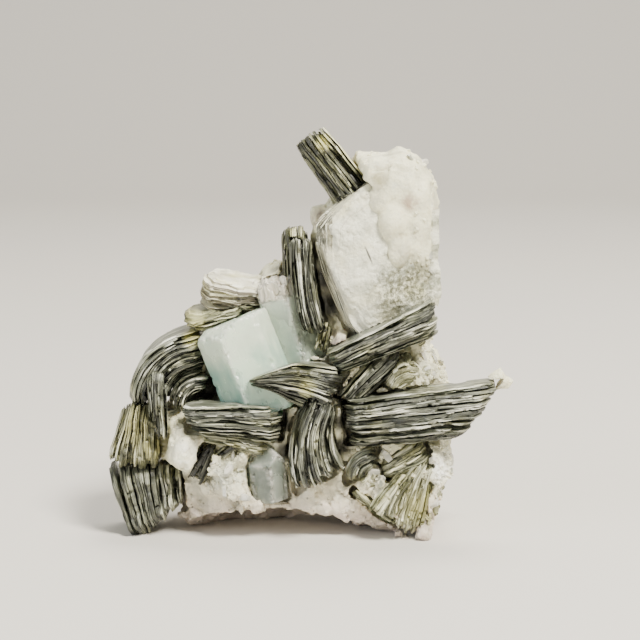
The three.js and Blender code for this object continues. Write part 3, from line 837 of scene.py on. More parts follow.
# Bright yellow spots on the mica: x, z and radius in millimetres, and strength.
YELLOW_SPOTS = (
    (2.9, 86.2, 2.0, 0.85),
    (-24.6, 47.2, 2.4, 0.4),
    (-26.0, 43.4, 2.2, 0.6),
    (-0.5, 34.4, 2.2, 0.5),
    (23.0, 54.0, 2.2, 0.5),
)


def spot_mask(add, millimetres, x, z, radius):
    """How much of a soft round spot, seen from the front, lies at each point."""
    flat = add("ShaderNodeVectorMath", {0: millimetres, 1: (1.0, 0.0, 1.0)}, operation="MULTIPLY")
    away = add(
        "ShaderNodeVectorMath", {0: flat, 1: (x - ORIGIN.x, 0.0, z)}, operation="DISTANCE"
    ).outputs["Value"]
    return add(
        "ShaderNodeMapRange",
        {"Value": away, "From": (0.3 * radius, 1.2 * radius), "To": (1.0, 0.0)},
        interpolation_type="SMOOTHSTEP",
    )


def layered(add, colour, *layers, blend="MIX"):
    """Lays colours over one another, each by its own factor."""
    for factor, over in layers:
        inputs = {"Factor": factor, "A": colour, "B": over}
        colour = add("ShaderNodeMix", inputs, data_type="RGBA", blend_type=blend).outputs[2]
    return colour


def mica_material(name, mica, plain, light, middle, deep, face, film):
    """Muscovite as it grew: silvery pearly cleavage faces, and leaf edges striped pale over dark grooves,
    with painted shade in the grooves and painted light on the outermost leaf.
    """
    material, surface, add = new_material(name)

    sheet = add("ShaderNodeAttribute", attribute_name="sheet").outputs["Vector"]
    # The tone holds painted shade in the grooves and painted light on the outermost leaf.
    tone = add("ShaderNodeAttribute", attribute_name="tone").outputs["Fac"]
    cleavage = add("ShaderNodeAttribute", attribute_name="cleavage").outputs["Fac"]
    millimetres = in_millimetres(add, "ShaderNodeTexCoord", "Object")

    # Leaflets within a leaf are hundredths of a millimetre thick: drawn 0.2 mm thick, so that they show.
    leaflet_at = add("ShaderNodeVectorMath", {0: sheet, 1: (0.22, 0.22, 6.0)}, operation="MULTIPLY")
    leaflets = add(
        "ShaderNodeTexNoise", {"Vector": leaflet_at, "Scale": 1.0, "Detail": 3.0, "Roughness": 0.65}
    )
    band_at = add("ShaderNodeVectorMath", {0: sheet, 1: (0.13, 0.13, 1.0)}, operation="MULTIPLY")
    bands = add("ShaderNodeTexNoise", {"Vector": band_at, "Scale": 1.0, "Detail": 2.0})
    striped = add("ShaderNodeMapRange", {"Value": leaflets, "From": (0.34, 0.66), "To": (-0.32, 0.32)})
    banded = add("ShaderNodeMapRange", {"Value": bands, "From": (0.32, 0.68), "To": (-0.4, 0.4)})
    unevenness = add("ShaderNodeMath", {0: striped, 1: banded}, operation="ADD")
    brightness = add("ShaderNodeMath", {0: tone, 1: unevenness}, operation="ADD", use_clamp=True)

    # On the broad faces the edges of thin leaflets show as fine lines along the book.
    tread_at = add("ShaderNodeVectorMath", {0: sheet, 1: (0.25, 1.0, 3.0)}, operation="MULTIPLY")
    treads = add("ShaderNodeTexNoise", {"Vector": tread_at, "Scale": 1.0, "Detail": 3.0, "Distortion": 0.7})
    lined = add("ShaderNodeMapRange", {"Value": treads, "From": (0.36, 0.64)})
    shade = add("ShaderNodeMix", {"Factor": cleavage, "A": brightness, "B": lined}, data_type="FLOAT")
    shades = add("ShaderNodeValToRGB", {"Fac": shade})
    stops = shades.color_ramp.elements
    stops[0].position, stops[0].color = 0.05, opaque(deep)
    stops[1].position, stops[1].color = 0.95, opaque(light)
    half = stops.new(0.5)
    half.color = opaque(middle)

    # Some packets of leaves are greener, others more yellow.
    packet_at = add("ShaderNodeVectorMath", {0: sheet, 1: (0.1, 0.1, 0.55)}, operation="MULTIPLY")
    packets = add("ShaderNodeTexNoise", {"Vector": packet_at, "Scale": 1.0, "Detail": 2.0})
    yellowed = add("ShaderNodeMapRange", {"Value": packets, "From": (0.45, 0.68), "To Max": 0.7})
    edge = layered(add, shades.outputs[0], (yellowed, opaque(mica.tint_colour)), blend="MULTIPLY")

    # Cleavage faces: cloudy, with a darker and warmer film in patches a few millimetres across.
    cloud_at = add("ShaderNodeVectorMath", {0: sheet, 1: (0.3, 0.3, 0.45)}, operation="MULTIPLY")
    clouds = add("ShaderNodeTexNoise", {"Vector": cloud_at, "Scale": 1.0, "Detail": 5.0, "Roughness": 0.62})
    cloudy = add("ShaderNodeMapRange", {"Value": clouds, "From": (0.42, 0.62), "To Max": 0.85})
    broad = layered(add, opaque(face), (cloudy, opaque(film)))
    plainly = add("ShaderNodeMath", {0: cleavage, 1: plain}, operation="MULTIPLY")
    body = layered(add, edge, (plainly, broad))

    # Iron stain, yellow-olive: faint in patches of about 6 mm, and strong in its own spots.
    stain = add("ShaderNodeTexNoise", {"Vector": millimetres, "Scale": 0.16, "Detail": 4.0})
    stained = add(
        "ShaderNodeMapRange", {"Value": stain, "From": (0.55, 0.72), "To Max": mica.stain}
    ).outputs[0]
    for spot in STAIN_SPOTS:
        soft = add("ShaderNodeMath", {0: spot_mask(add, millimetres, *spot), 1: 0.75}, operation="MULTIPLY")
        stained = add("ShaderNodeMath", {0: stained, 1: soft}, operation="MAXIMUM")
    body = layered(add, body, (stained, opaque(mica.stain_colour)), blend="MULTIPLY")
    for *spot, strength in YELLOW_SPOTS:
        soft = add(
            "ShaderNodeMath", {0: spot_mask(add, millimetres, *spot), 1: strength}, operation="MULTIPLY"
        )
        body = layered(add, body, (soft, paint("#DAD692")))

    gloss = add("ShaderNodeMapRange", {"Value": cleavage, "To": (0.55, 0.3)})
    relief = add("ShaderNodeBump", {"Strength": 0.7, "Distance": 0.2 * MM, "Height": leaflets})
    plug(surface, {"Base Color": body, "Roughness": gloss, "Normal": relief})
    plug(surface, {"IOR": 1.59, "Coat Weight": 0.15, "Coat Roughness": 0.3})
    return material


def overgrow(material):
    """Lays thin albite over the broad face of the large plate, thicker to the right, and paints a slit on
    the face as a dark line of painted shade.
    """
    surface = material.node_tree.nodes["Principled BSDF"]
    add = partial(add_node, material.node_tree)
    sheet = add("ShaderNodeAttribute", attribute_name="sheet").outputs["Vector"]
    millimetres = in_millimetres(add, "ShaderNodeTexCoord", "Object")

    # Fine lines along the left edge, where the crust is thin and the sheets end one after another.
    rim = add("ShaderNodeAttribute", attribute_name="inward").outputs["Fac"]
    warp = add("ShaderNodeTexNoise", {"Vector": millimetres, "Scale": 0.16, "Detail": 3.0})
    rim_warped = add("ShaderNodeMath", {0: warp, 1: 3.0, 2: rim}, operation="MULTIPLY_ADD")
    line_at = add("ShaderNodeCombineXYZ", {"X": rim_warped})
    lines = add("ShaderNodeTexNoise", {"Vector": line_at, "Scale": 1.6, "Detail": 2.0, "Roughness": 0.6})
    lined = add("ShaderNodeMapRange", {"Value": lines, "From": (0.5, 0.64)})
    near_rim = add("ShaderNodeMapRange", {"Value": rim, "From": (2.0, 9.0), "To": (0.6, 0.0)})
    fine = add("ShaderNodeMath", {0: lined, 1: near_rim}, operation="MULTIPLY")

    # Yellowish cream in patches of about 6 mm, and grey-green mottling that is stronger to the right.
    creamy = add("ShaderNodeMapRange", {"Value": warp, "From": (0.48, 0.62), "To Max": 0.7})
    rightward = add("ShaderNodeSeparateXYZ", {0: sheet}).outputs["X"]
    amount = add("ShaderNodeMapRange", {"Value": rightward, "From": (-6.0, 9.0), "To": (0.25, 1.0)})
    mottle = add(
        "ShaderNodeTexNoise", {"Vector": millimetres, "Scale": 0.3, "Detail": 6.0, "Roughness": 0.68}
    )
    faint = add("ShaderNodeMapRange", {"Value": mottle, "From": (0.47, 0.62), "To Max": amount})
    patch = spot_mask(add, millimetres, *ROUGH_PATCH)
    speckle = add(
        "ShaderNodeTexNoise", {"Vector": millimetres, "Scale": 1.1, "Detail": 5.0, "Roughness": 0.75}
    )
    speckled = add("ShaderNodeMapRange", {"Value": speckle, "From": (0.42, 0.56)})
    rough = add("ShaderNodeMath", {0: patch, 1: speckled}, operation="MULTIPLY")

    # The slit: a thin dark line of painted shade that leans a little to the right as it goes down.
    (slit_x, slit_z), slit_lean, slit_length, slit_width = SLIT
    from_slit = add(
        "ShaderNodeVectorMath", {0: millimetres, 1: (slit_x - ORIGIN.x, 0.0, slit_z)}, operation="SUBTRACT"
    )
    levelled = add(
        "ShaderNodeVectorRotate",
        {"Vector": from_slit, "Angle": math.radians(slit_lean)},
        rotation_type="Y_AXIS",
    )
    shares = add(
        "ShaderNodeVectorMath",
        {0: levelled, 1: (2 / slit_width, 0.0, 2 / slit_length)},
        operation="MULTIPLY",
    )
    out = add("ShaderNodeVectorMath", {0: shares}, operation="LENGTH").outputs["Value"]
    slit_painted_shade = add("ShaderNodeMapRange", {"Value": out, "From": (0.5, 1.1), "To": (0.9, 0.0)})
    body = layered(
        add,
        surface.inputs["Base Color"].links[0].from_socket,
        (fine, paint("#A89F88")),
        (creamy, paint("#F3EFD2")),
        (faint, paint("#989A83")),
        (rough, paint("#75755A")),
        (slit_painted_shade, paint("#3B382C")),
    )

    # The relief of the face: low swells with fine grains on them.
    coarse = add("ShaderNodeBump", {"Strength": 0.7, "Distance": 2.0 * MM, "Height": mottle})
    relief = add(
        "ShaderNodeBump", {"Strength": 0.6, "Distance": 0.6 * MM, "Height": speckle, "Normal": coarse}
    )
    plug(surface, {"Base Color": body, "Normal": relief, "Coat Weight": 0.05})


def plate_front(step):
    """The front of the large plate as an even mesh."""
    front = bmesh.new()
    front.from_mesh(even_mesh("plate", cad_copy(PLATE["node"]), step))
    hidden = [face for face in front.faces if face.normal.y > -0.5]
    bmesh.ops.delete(front, geom=hidden, context="FACES")
    return made_mesh(front, "plate_front")


def thin_crust_tree():
    """The tree that swells a thin crust over a face, in low terraces, and lets it run out at the rim."""
    tree, given, add = new_tree(
        "thin_crust",
        {
            "Swell": "Float",
            "Terrace": "Float",
            "Grain": "Float",
            "Patch": "Float",
            "Mineral": "Material",
        },
    )

    millimetres = in_millimetres(add, "GeometryNodeInputPosition", "Position")
    swells = add(
        "ShaderNodeTexNoise", {"Vector": millimetres, "Scale": 0.13, "Detail": 4.0, "Roughness": 0.5}
    )
    swell = add("ShaderNodeMath", {0: swells, 1: 0.35}, operation="SUBTRACT")
    raised = add("ShaderNodeMath", {0: swell, 1: given["Swell"]}, operation="MULTIPLY")
    rim = add("GeometryNodeInputNamedAttribute", {"Name": "inward"}, data_type="FLOAT")
    climbing = add("ShaderNodeMath", {0: rim, 1: 0.18, 2: raised}, operation="MULTIPLY_ADD")
    stepped = add("ShaderNodeMath", {0: climbing, 1: given["Terrace"]}, operation="SNAP")
    near_rim = add("ShaderNodeMapRange", {"Value": rim, "From": (3.0, 10.0)})
    surface = add("ShaderNodeMix", {"Factor": near_rim, "A": stepped, "B": climbing}, data_type="FLOAT")
    grains = add(
        "ShaderNodeTexNoise", {"Vector": millimetres, "Scale": 0.8, "Detail": 4.0, "Roughness": 0.65}
    )
    grain = add("ShaderNodeMath", {0: grains, 1: 0.5}, operation="SUBTRACT")
    roughness = add("ShaderNodeMapRange", {"Value": rim, "From": (6.0, 16.0), "To Min": 0.15})
    patch = add("GeometryNodeInputNamedAttribute", {"Name": "patch"}, data_type="FLOAT")
    rougher = add("ShaderNodeMath", {0: patch, 1: roughness}, operation="ADD")
    rough = add("ShaderNodeMath", {0: grain, 1: rougher}, operation="MULTIPLY")
    thick = add("ShaderNodeMath", {0: patch, 1: given["Patch"], 2: surface}, operation="MULTIPLY_ADD")
    height = add("ShaderNodeMath", {0: rough, 1: given["Grain"], 2: thick}, operation="MULTIPLY_ADD")
    wavering = add("ShaderNodeMath", {0: swells, 1: 5.0, 2: rim}, operation="MULTIPLY_ADD")
    kept = add("ShaderNodeMapRange", {"Value": wavering, "From": (4.0, 6.0), "To": (-1.8, 0.0)})
    whole = add("ShaderNodeMath", {0: height, 1: kept}, operation="ADD")
    at_rim = add("ShaderNodeMath", {0: rim, 1: 0.8}, operation="LESS_THAN")
    trimmed = add("GeometryNodeDeleteGeometry", {"Geometry": given["Geometry"], "Selection": at_rim})
    finished = displaced(add, trimmed, whole, given["Mineral"])
    add("NodeGroupOutput", {"Geometry": finished})
    return tree


def plate_crust(material):
    """The thin crust on the front of the large plate. It runs out at the plate's left edge."""
    mesh = plate_front(step=0.25 * MM)
    rows = points_of(mesh)
    to_plate = np.array(book_place(PLATE).inverted())
    u, v, w = (rows @ to_plate[:3, :3].T + to_plate[:3, 3]).T
    across, lower, upper = np.array(PLATE["columns"], float).T
    inside = np.minimum(v - np.interp(u, across, lower), np.interp(u, across, upper) - v) * 0.8
    inward = np.where(u > 2, np.maximum(inside, u), np.minimum(inside, u - across[0]))
    store_values(mesh, "inward", inward)
    patch_x, patch_z, patch_radius = ROUGH_PATCH
    away = np.hypot(rows[:, 0] / MM - patch_x + ORIGIN.x, rows[:, 2] / MM - patch_z)
    store_values(mesh, "patch", np.clip(1.6 - 1.6 * away / patch_radius, 0, 1))
    store_values(mesh, "cleavage", [1.0] * len(mesh.polygons), "FACE")
    store_vectors(mesh, "sheet", np.column_stack([u, v, w]))
    crust = grown("large_plate_crust", mesh, thin_crust_tree(), {**PLATE_CRUST, "Mineral": material})
    crust.data.shade_smooth()
    dress(crust, material)
    return crust


# ---- Albite -------------------------------------------------------------------------------------------


# What stands out of the front of the matrix, in millimetres: x and z of its middle, its half sizes along
# x, y and z, its lean to the right in degrees, and whether it is a block and not a lump.
OUTCROPS = (
    (-27.1, 19.6, (2.6, 1.8, 4.0), 8, False),
    (-20.6, 16.8, (1.0, 1.4, 2.4), 8, True),
    (-17.4, 13.2, (1.6, 1.7, 3.6), -26, True),
    (-15.4, 18.2, (2.3, 1.5, 1.5), 18, False),
    (-22.7, 10.9, (1.5, 1.4, 2.0), 0, False),
    (-13.6, 8.9, (1.0, 1.5, 3.0), -44, True),
    (6.8, 41.9, (2.3, 2.4, 2.0), 0, False),
    (2.2, 69.0, (1.6, 2.2, 2.8), -10, True),
    (15.6, 74.0, (3.4, 2.4, 3.4), 20, False),
    (18.0, 69.0, (3.2, 2.4, 4.2), 0, False),
    (19.2, 63.5, (2.4, 1.8, 4.0), 0, False),
)

# Spots on the front of the matrix: x, z and radius in millimetres, colour and strength. The darkest ones
# are painted shade, in the hollow under the arched book, in the gap beside the plate and in the gaps
# between the books; the others are colours of the albite itself.
ALBITE_SPOTS_AND_PAINTED_SHADE = (
    # Painted shade in the hollow under the arched book, beside the plate and between the books.
    (-23.0, 31.5, 6.5, "#34332A", 1.0),
    (3.6, 50.5, 4.5, "#34332A", 1.0),
    (2.6, 56.5, 3.8, "#34332A", 1.0),
    (1.4, 62.5, 3.4, "#3B372C", 1.0),
    (-6.2, 25.5, 3.2, "#403E31", 1.0),
    (-5.8, 19.5, 2.8, "#403E31", 1.0),
    (6.6, 26.0, 2.8, "#403E31", 1.0),
    (6.8, 20.5, 2.8, "#403E31", 1.0),
    (-27.1, 19.6, 3.4, "#FAFAEC", 0.9),
    (-18.0, 14.5, 4.6, "#C4C9BE", 0.6),
    (6.4, 41.9, 3.4, "#A6968F", 0.95),
    (15.2, 78.7, 2.0, "#9C956E", 0.95),
    (21.6, 73.6, 2.4, "#A9917C", 0.8),
    (18.6, 77.0, 1.8, "#C3C5B6", 0.6),
    (22.6, 56.4, 6.5, "#66664C", 0.95),
    # Painted shade in the gap between the diagonal and the right book.
    (15.2, 33.0, 2.6, "#4B4A3A", 1.0),
    (2.2, 69.4, 2.6, "#988B86", 0.95),
    (17.5, 15.0, 3.2, "#9B9D86", 0.8),
    (28.6, 15.8, 3.8, "#FBFAF0", 0.9),
)


def with_outcrops(mesh):
    """The matrix with the lumps and blocks that stand out of its front."""
    shape = bmesh.new()
    shape.from_mesh(mesh)
    front = BVHTree.FromBMesh(shape)
    for x, z, halves, lean, block in OUTCROPS:
        start = Vector((x * MM - ORIGIN.x * MM, -0.1, z * MM))
        middle = front.ray_cast(start, Vector((0, 1, 0)))[0]
        place = (
            Matrix.Translation(middle)
            @ Matrix.Rotation(math.radians(lean), 4, "Y")
            @ Matrix.Diagonal((*(half * MM for half in halves), 1.0))
        )
        if block:
            bmesh.ops.create_cube(shape, size=2.0, matrix=place)
        else:
            bmesh.ops.create_icosphere(shape, subdivisions=3, radius=1.0, matrix=place)
    shape.to_mesh(mesh)
    shape.free()
    return mesh


def sugary_tree():
    """The tree that roughens the matrix: blocky tilted grains over soft lumps."""
    tree, given, add = new_tree(
        "sugary_albite",
        {
            "Grain": "Float",
            "Relief": "Float",
            "Sugar": "Float",
            "Sugar Relief": "Float",
            "Lump": "Float",
            "Lump Relief": "Float",
            "Albite": "Material",
        },
    )

    millimetres = in_millimetres(add, "GeometryNodeInputPosition", "Position")

    # Each grain is a cell with a face of its own, tilted at random and standing a little proud or low.
    # Coarse grains come first, and the finer sugar is laid over them.
    height = 0.0
    region = add("ShaderNodeTexNoise", {"Vector": millimetres, "Scale": 0.12, "Detail": 2.0})
    blocks = add("ShaderNodeMapRange", {"Value": region, "From": (0.4, 0.6), "To Min": 0.25})
    up = add("ShaderNodeSeparateXYZ", {0: millimetres}).outputs["Z"]
    calm = add("ShaderNodeMapRange", {"Value": up, "From": (42.0, 62.0), "To": (1.0, 0.35)})
    blocky = add("ShaderNodeMath", {0: blocks, 1: calm}, operation="MULTIPLY")
    for size, relief in (("Grain", "Relief"), ("Sugar", "Sugar Relief")):
        fineness = add("ShaderNodeMath", {0: 1.0, 1: given[size]}, operation="DIVIDE")
        scaled = add("ShaderNodeVectorMath", {0: millimetres, "Scale": fineness}, operation="SCALE")
        cells = add("ShaderNodeTexVoronoi", {"Vector": scaled, "Scale": 1.0, "Randomness": 1.0})
        out = add("ShaderNodeVectorMath", {0: scaled, 1: cells.outputs["Position"]}, operation="SUBTRACT")
        tilt = add(
            "ShaderNodeVectorMath", {0: cells.outputs["Color"], 1: (0.5, 0.5, 0.5)}, operation="SUBTRACT"
        )
        slant = add("ShaderNodeVectorMath", {0: out, 1: tilt}, operation="DOT_PRODUCT").outputs["Value"]
        tint = add("ShaderNodeSeparateXYZ", {0: cells.outputs["Color"]})
        stand = add("ShaderNodeMath", {0: tint, 1: 0.5}, operation="SUBTRACT")
        slanted = add("ShaderNodeMath", {0: slant, 1: 1.6, 2: stand}, operation="MULTIPLY_ADD")
        here_relief = add("ShaderNodeMath", {0: blocky, 1: given[relief]}, operation="MULTIPLY")
        height = add("ShaderNodeMath", {0: slanted, 1: here_relief, 2: height}, operation="MULTIPLY_ADD")

    coarseness = add("ShaderNodeMath", {0: 1.0, 1: given["Lump"]}, operation="DIVIDE")
    lump = add("ShaderNodeTexNoise", {"Vector": millimetres, "Scale": coarseness, "Detail": 3.0})
    swing = add("ShaderNodeMath", {0: lump, 1: 0.5}, operation="SUBTRACT")
    height = add("ShaderNodeMath", {0: swing, 1: given["Lump Relief"], 2: height}, operation="MULTIPLY_ADD")

    # No pit is so deep that it could break through a thin wall.
    height = add("ShaderNodeMath", {0: height, 1: -0.8}, operation="MAXIMUM")
    finished = displaced(add, given["Geometry"], height, given["Albite"])
    add("NodeGroupOutput", {"Geometry": finished})
    return tree


def albite_material(name, albite):
    """Albite, broken and weathered: white sugary grains, translucent grey and pinkish in patches."""
    material, surface, add = new_material(name)

    millimetres = in_millimetres(add, "ShaderNodeTexCoord", "Object")

    # Pinkish towards the trimmed base.
    height = add("ShaderNodeSeparateXYZ", {0: millimetres}).outputs["Z"]
    low = add("ShaderNodeMapRange", {"Value": height, "From": (4.0, 15.0), "To": (1.0, 0.0)})

    # Greyer, more translucent patches of about 5 mm.
    patches = add(
        "ShaderNodeTexNoise", {"Vector": millimetres, "Scale": 0.2, "Detail": 5.0, "Roughness": 0.6}
    )
    patchy = add("ShaderNodeMapRange", {"Value": patches, "From": (0.5, 0.72), "To Max": 0.75})

    # Yellowish iron stain in smaller spots.
    spots = add(
        "ShaderNodeTexNoise", {"Vector": millimetres, "Scale": 0.33, "Detail": 4.0, "Distortion": 0.6}
    )
    spotted = add("ShaderNodeMapRange", {"Value": spots, "From": (0.58, 0.72), "To Max": 0.6})

    # Sugary grains of 0.6 mm, each a slightly different white.
    grains = add("ShaderNodeTexVoronoi", {"Vector": millimetres, "Scale": 1.6})
    grain_tint = add("ShaderNodeSeparateXYZ", {0: grains.outputs["Color"]})
    grainy = add("ShaderNodeMapRange", {"Value": grain_tint, "To": (0.0, 0.22)})

    # Painted shade: grey-brown darkening in the low places between grains, where shade gathers.
    relief_height = add("ShaderNodeAttribute", attribute_name="relief").outputs["Fac"]
    crevice_painted_shade = add("ShaderNodeMapRange", {"Value": relief_height, "From": (-0.75, -0.05), "To": (0.7, 0.0)})

    # Hairline cracks between blocks, dark with what has lodged in them, that come and go.
    warp = add("ShaderNodeTexNoise", {"Vector": millimetres, "Scale": 0.5, "Detail": 3.0})
    warped = add("ShaderNodeVectorMath", {0: warp.outputs["Color"], "Scale": 3.0}, operation="SCALE")
    block_at = add("ShaderNodeVectorMath", {0: millimetres, 1: warped}, operation="ADD")
    blocks = add("ShaderNodeTexVoronoi", {"Vector": block_at, "Scale": 0.21}, feature="DISTANCE_TO_EDGE")
    crack = add("ShaderNodeMapRange", {"Value": blocks, "From": (0.0, 0.045), "To": (1.0, 0.0)})
    below = add("ShaderNodeMapRange", {"Value": height, "From": (30.0, 60.0), "To": (0.45, 0.1)})
    coming = add("ShaderNodeMapRange", {"Value": patches, "From": (0.46, 0.6), "To Max": below})
    cracked = add("ShaderNodeMath", {0: crack, 1: coming}, operation="MULTIPLY")

    # Specks of dark mica, half a millimetre wide.
    speck_cells = add("ShaderNodeTexVoronoi", {"Vector": millimetres, "Scale": 0.7})
    speck_lot = add("ShaderNodeSeparateXYZ", {0: speck_cells.outputs["Color"]})
    chosen = add("ShaderNodeMath", {0: speck_lot, 1: 0.72}, operation="GREATER_THAN")
    speck = add("ShaderNodeMapRange", {"Value": speck_cells, "From": (0.12, 0.24), "To": (0.75, 0.0)})
    specked = add("ShaderNodeMath", {0: speck, 1: chosen}, operation="MULTIPLY")
    speck_share = add("ShaderNodeMath", {0: below, 1: 2.2}, operation="MULTIPLY", use_clamp=True)
    seen_specks = add("ShaderNodeMath", {0: specked, 1: speck_share}, operation="MULTIPLY")
    body = layered(
        add,
        opaque(albite.white),
        (low, opaque(albite.pink)),
        (patchy, opaque(albite.grey)),
        (spotted, opaque(albite.stain)),
        (grainy, opaque(albite.grey)),
        (crevice_painted_shade, paint("#8F8A76")),
        (cracked, paint("#6E6758")),
        (seen_specks, paint("#5E5C4A")),
    )

    # Spots that are open to the front: colours of the albite, and painted shade in the hollows and gaps.
    depth = add("ShaderNodeSeparateXYZ", {0: millimetres}).outputs["Y"]
    in_front = add("ShaderNodeMapRange", {"Value": depth, "From": (3.0, 8.0), "To": (1.0, 0.0)})
    broken_up = add("ShaderNodeMapRange", {"Value": spots, "From": (0.4, 0.56), "To Min": 0.35})
    for x, z, radius, colour, strength in ALBITE_SPOTS_AND_PAINTED_SHADE:
        mask = spot_mask(add, millimetres, x, z, radius)
        spot = add("ShaderNodeMath", {0: mask, 1: in_front}, operation="MULTIPLY")
        seen = add("ShaderNodeMath", {0: spot, 1: strength}, operation="MULTIPLY")
        if strength < 1:
            seen = add("ShaderNodeMath", {0: seen, 1: broken_up}, operation="MULTIPLY")
        body = layered(add, body, (seen, paint(colour)))

    gloss = add("ShaderNodeMapRange", {"Value": grain_tint.outputs["Y"], "To": (0.35, 0.75)})
    sunk = add("ShaderNodeMath", {0: cracked, 1: -0.6, 2: grains}, operation="MULTIPLY_ADD")
    grain_relief = add("ShaderNodeBump", {"Strength": 0.45, "Distance": 0.2 * MM, "Height": sunk})
    pits = add("ShaderNodeTexNoise", {"Vector": millimetres, "Scale": 1.2, "Detail": 5.0})
    relief = add(
        "ShaderNodeBump", {"Strength": 0.6, "Distance": 0.4 * MM, "Height": pits, "Normal": grain_relief}
    )
    plug(surface, {"Base Color": body, "Roughness": gloss, "Normal": relief, "IOR": 1.53})
    under_skin = {"Weight": 0.35, "Radius": (1.0, 0.9, 0.8), "Scale": 1.2 * MM}
    plug(surface, {"Subsurface " + name: value for name, value in under_skin.items()})
    return material


# ---- Crumbs: the small crystals that sit on the matrix ------------------------------------------------

# Where each kind of crumb gathers on the front: x, z and radius in millimetres. It is sparse elsewhere.
FLAKE_PLACES = (
    (18.9, 37.5, 5.5),
    (20.5, 12.0, 6.5),
    (25.0, 6.0, 5.0),
    (2.6, 43.7, 4.0),
    (-26.3, 41.0, 5.0),
    (12.0, 14.5, 4.0),
    (-21.0, 24.0, 3.5),
)
BLADE_PLACES = (
    (24.0, 60.0, 3.0),
    (-18.5, 14.0, 5.5),
    (26.6, 36.0, 6.0),
    (14.0, 17.0, 4.5),
    (26.0, 15.0, 6.5),
    (-5.0, 43.0, 4.0),
)


# Outlines of the crumbs, of unit width, and the slabs that each is made of: bottom, top, and how much
# smaller the top is.
LEAF_OUTLINE = (
    *((0.5, -0.12), (0.5, 0.12), (0.12, 0.42), (-0.42, 0.36)),
    *((-0.5, 0.0), (-0.26, -0.4), (0.2, -0.42)),
)
BLADE_OUTLINE = ((0.5, -0.1), (0.44, 0.16), (-0.1, 0.27), (-0.5, 0.2), (-0.46, -0.22), (0.1, -0.26))
GRAIN_OUTLINE = ((0.5, -0.3), (0.42, 0.34), (-0.3, 0.44), (-0.5, -0.1), (-0.2, -0.44))
FLAKE_LAYERS = ((-0.06, 0.03, 0.93), (0.05, 0.13, 0.9), (0.16, 0.22, 0.9))
BLADE_LAYERS = ((-0.12, 0.12, 0.8),)
GRAIN_LAYERS = ((-0.35, 0.4, 0.7),)


def bladed_material(name):
    """Fresh blades of albite, glassier and more translucent than the weathered matrix."""
    material, surface, add = new_material(name)
    here = add("ShaderNodeTexCoord").outputs["Object"]
    clouds = add("ShaderNodeTexNoise", {"Vector": here, "Scale": 0.3 / MM, "Detail": 3.0})
    cloudy = add("ShaderNodeMapRange", {"Value": clouds, "From": (0.35, 0.65)})
    body = layered(add, paint("#F1EDE0"), (cloudy, paint("#A4A696")))
    plug(surface, {"Base Color": body, "Roughness": 0.28, "IOR": 1.53, "Transmission Weight": 0.25})
    return material


def slab_mesh(name, outline, layers):
    """A small stack of flat slabs of unit width, marked as mica is, for the materials to read."""
    shape = bmesh.new()
    for low, high, shrink in layers:
        rings = [
            [shape.verts.new((x * scale, y * scale, z)) for x, y in outline]
            for z, scale in ((low, 1.0), (high, shrink))
        ]
        shape.faces.new(rings[0][::-1])
        shape.faces.new(rings[1])
        for i in range(len(outline)):
            j = (i + 1) % len(outline)
            shape.faces.new((rings[0][i], rings[0][j], rings[1][j], rings[1][i]))
    mesh = made_mesh(shape, name)
    store_values(mesh, "cleavage", [float(abs(face.normal.z) > 0.7) for face in mesh.polygons], "FACE")
    store_values(mesh, "tone", [0.75] * len(mesh.vertices))
    store_vectors(mesh, "sheet", points_of(mesh) * (2.0, 2.0, 2.0))
    return mesh


def crumb_ground():
    """The surface that crumbs can sit on: the matrix, and the front of the large plate."""
    ground = bmesh.new()
    ground.from_mesh(plate_front(step=0.6 * MM))
    ground.from_mesh(bpy.data.objects["albite_matrix_grains"].data)
    return made_mesh(ground, "crumb_ground")


def open_faces(host):
    """For each face of the ground, whether there is room above it for a crumb."""
    covers = bmesh.new()
    for name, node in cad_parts.items():
        if name not in ("albite_matrix", PLATE["node"]):
            covers.from_mesh(node.data)
    tree = BVHTree.FromBMesh(covers)
    covers.free()
    room = []
    for face in host.polygons:
        start = face.center + face.normal * 0.05 * MM
        hit = tree.ray_cast(start, face.normal, 2.2 * MM)[0]
        room.append(hit is None and face.center.z > 2.5 * MM and face.normal.z > -0.35)
    return np.array(room, float)


def gathered(host, places, sparse):
    """Density of crumbs for each face of the ground: full in the places given, sparse elsewhere."""
    middles = np.empty(len(host.polygons) * 3)
    host.polygons.foreach_get("center", middles)
    x, y, z = middles.reshape(-1, 3).T / MM
    on_plate = (np.abs(x - 11) < 11) & (y < -4) & (z > 46)
    density = np.where(on_plate, 0.0, sparse)
    for place_x, place_z, radius in places:
        away = np.hypot(x - (place_x - ORIGIN.x), z - place_z) / radius
        density = np.maximum(density, np.clip(1.4 - away, 0, 1) * (y < 0))
    return density


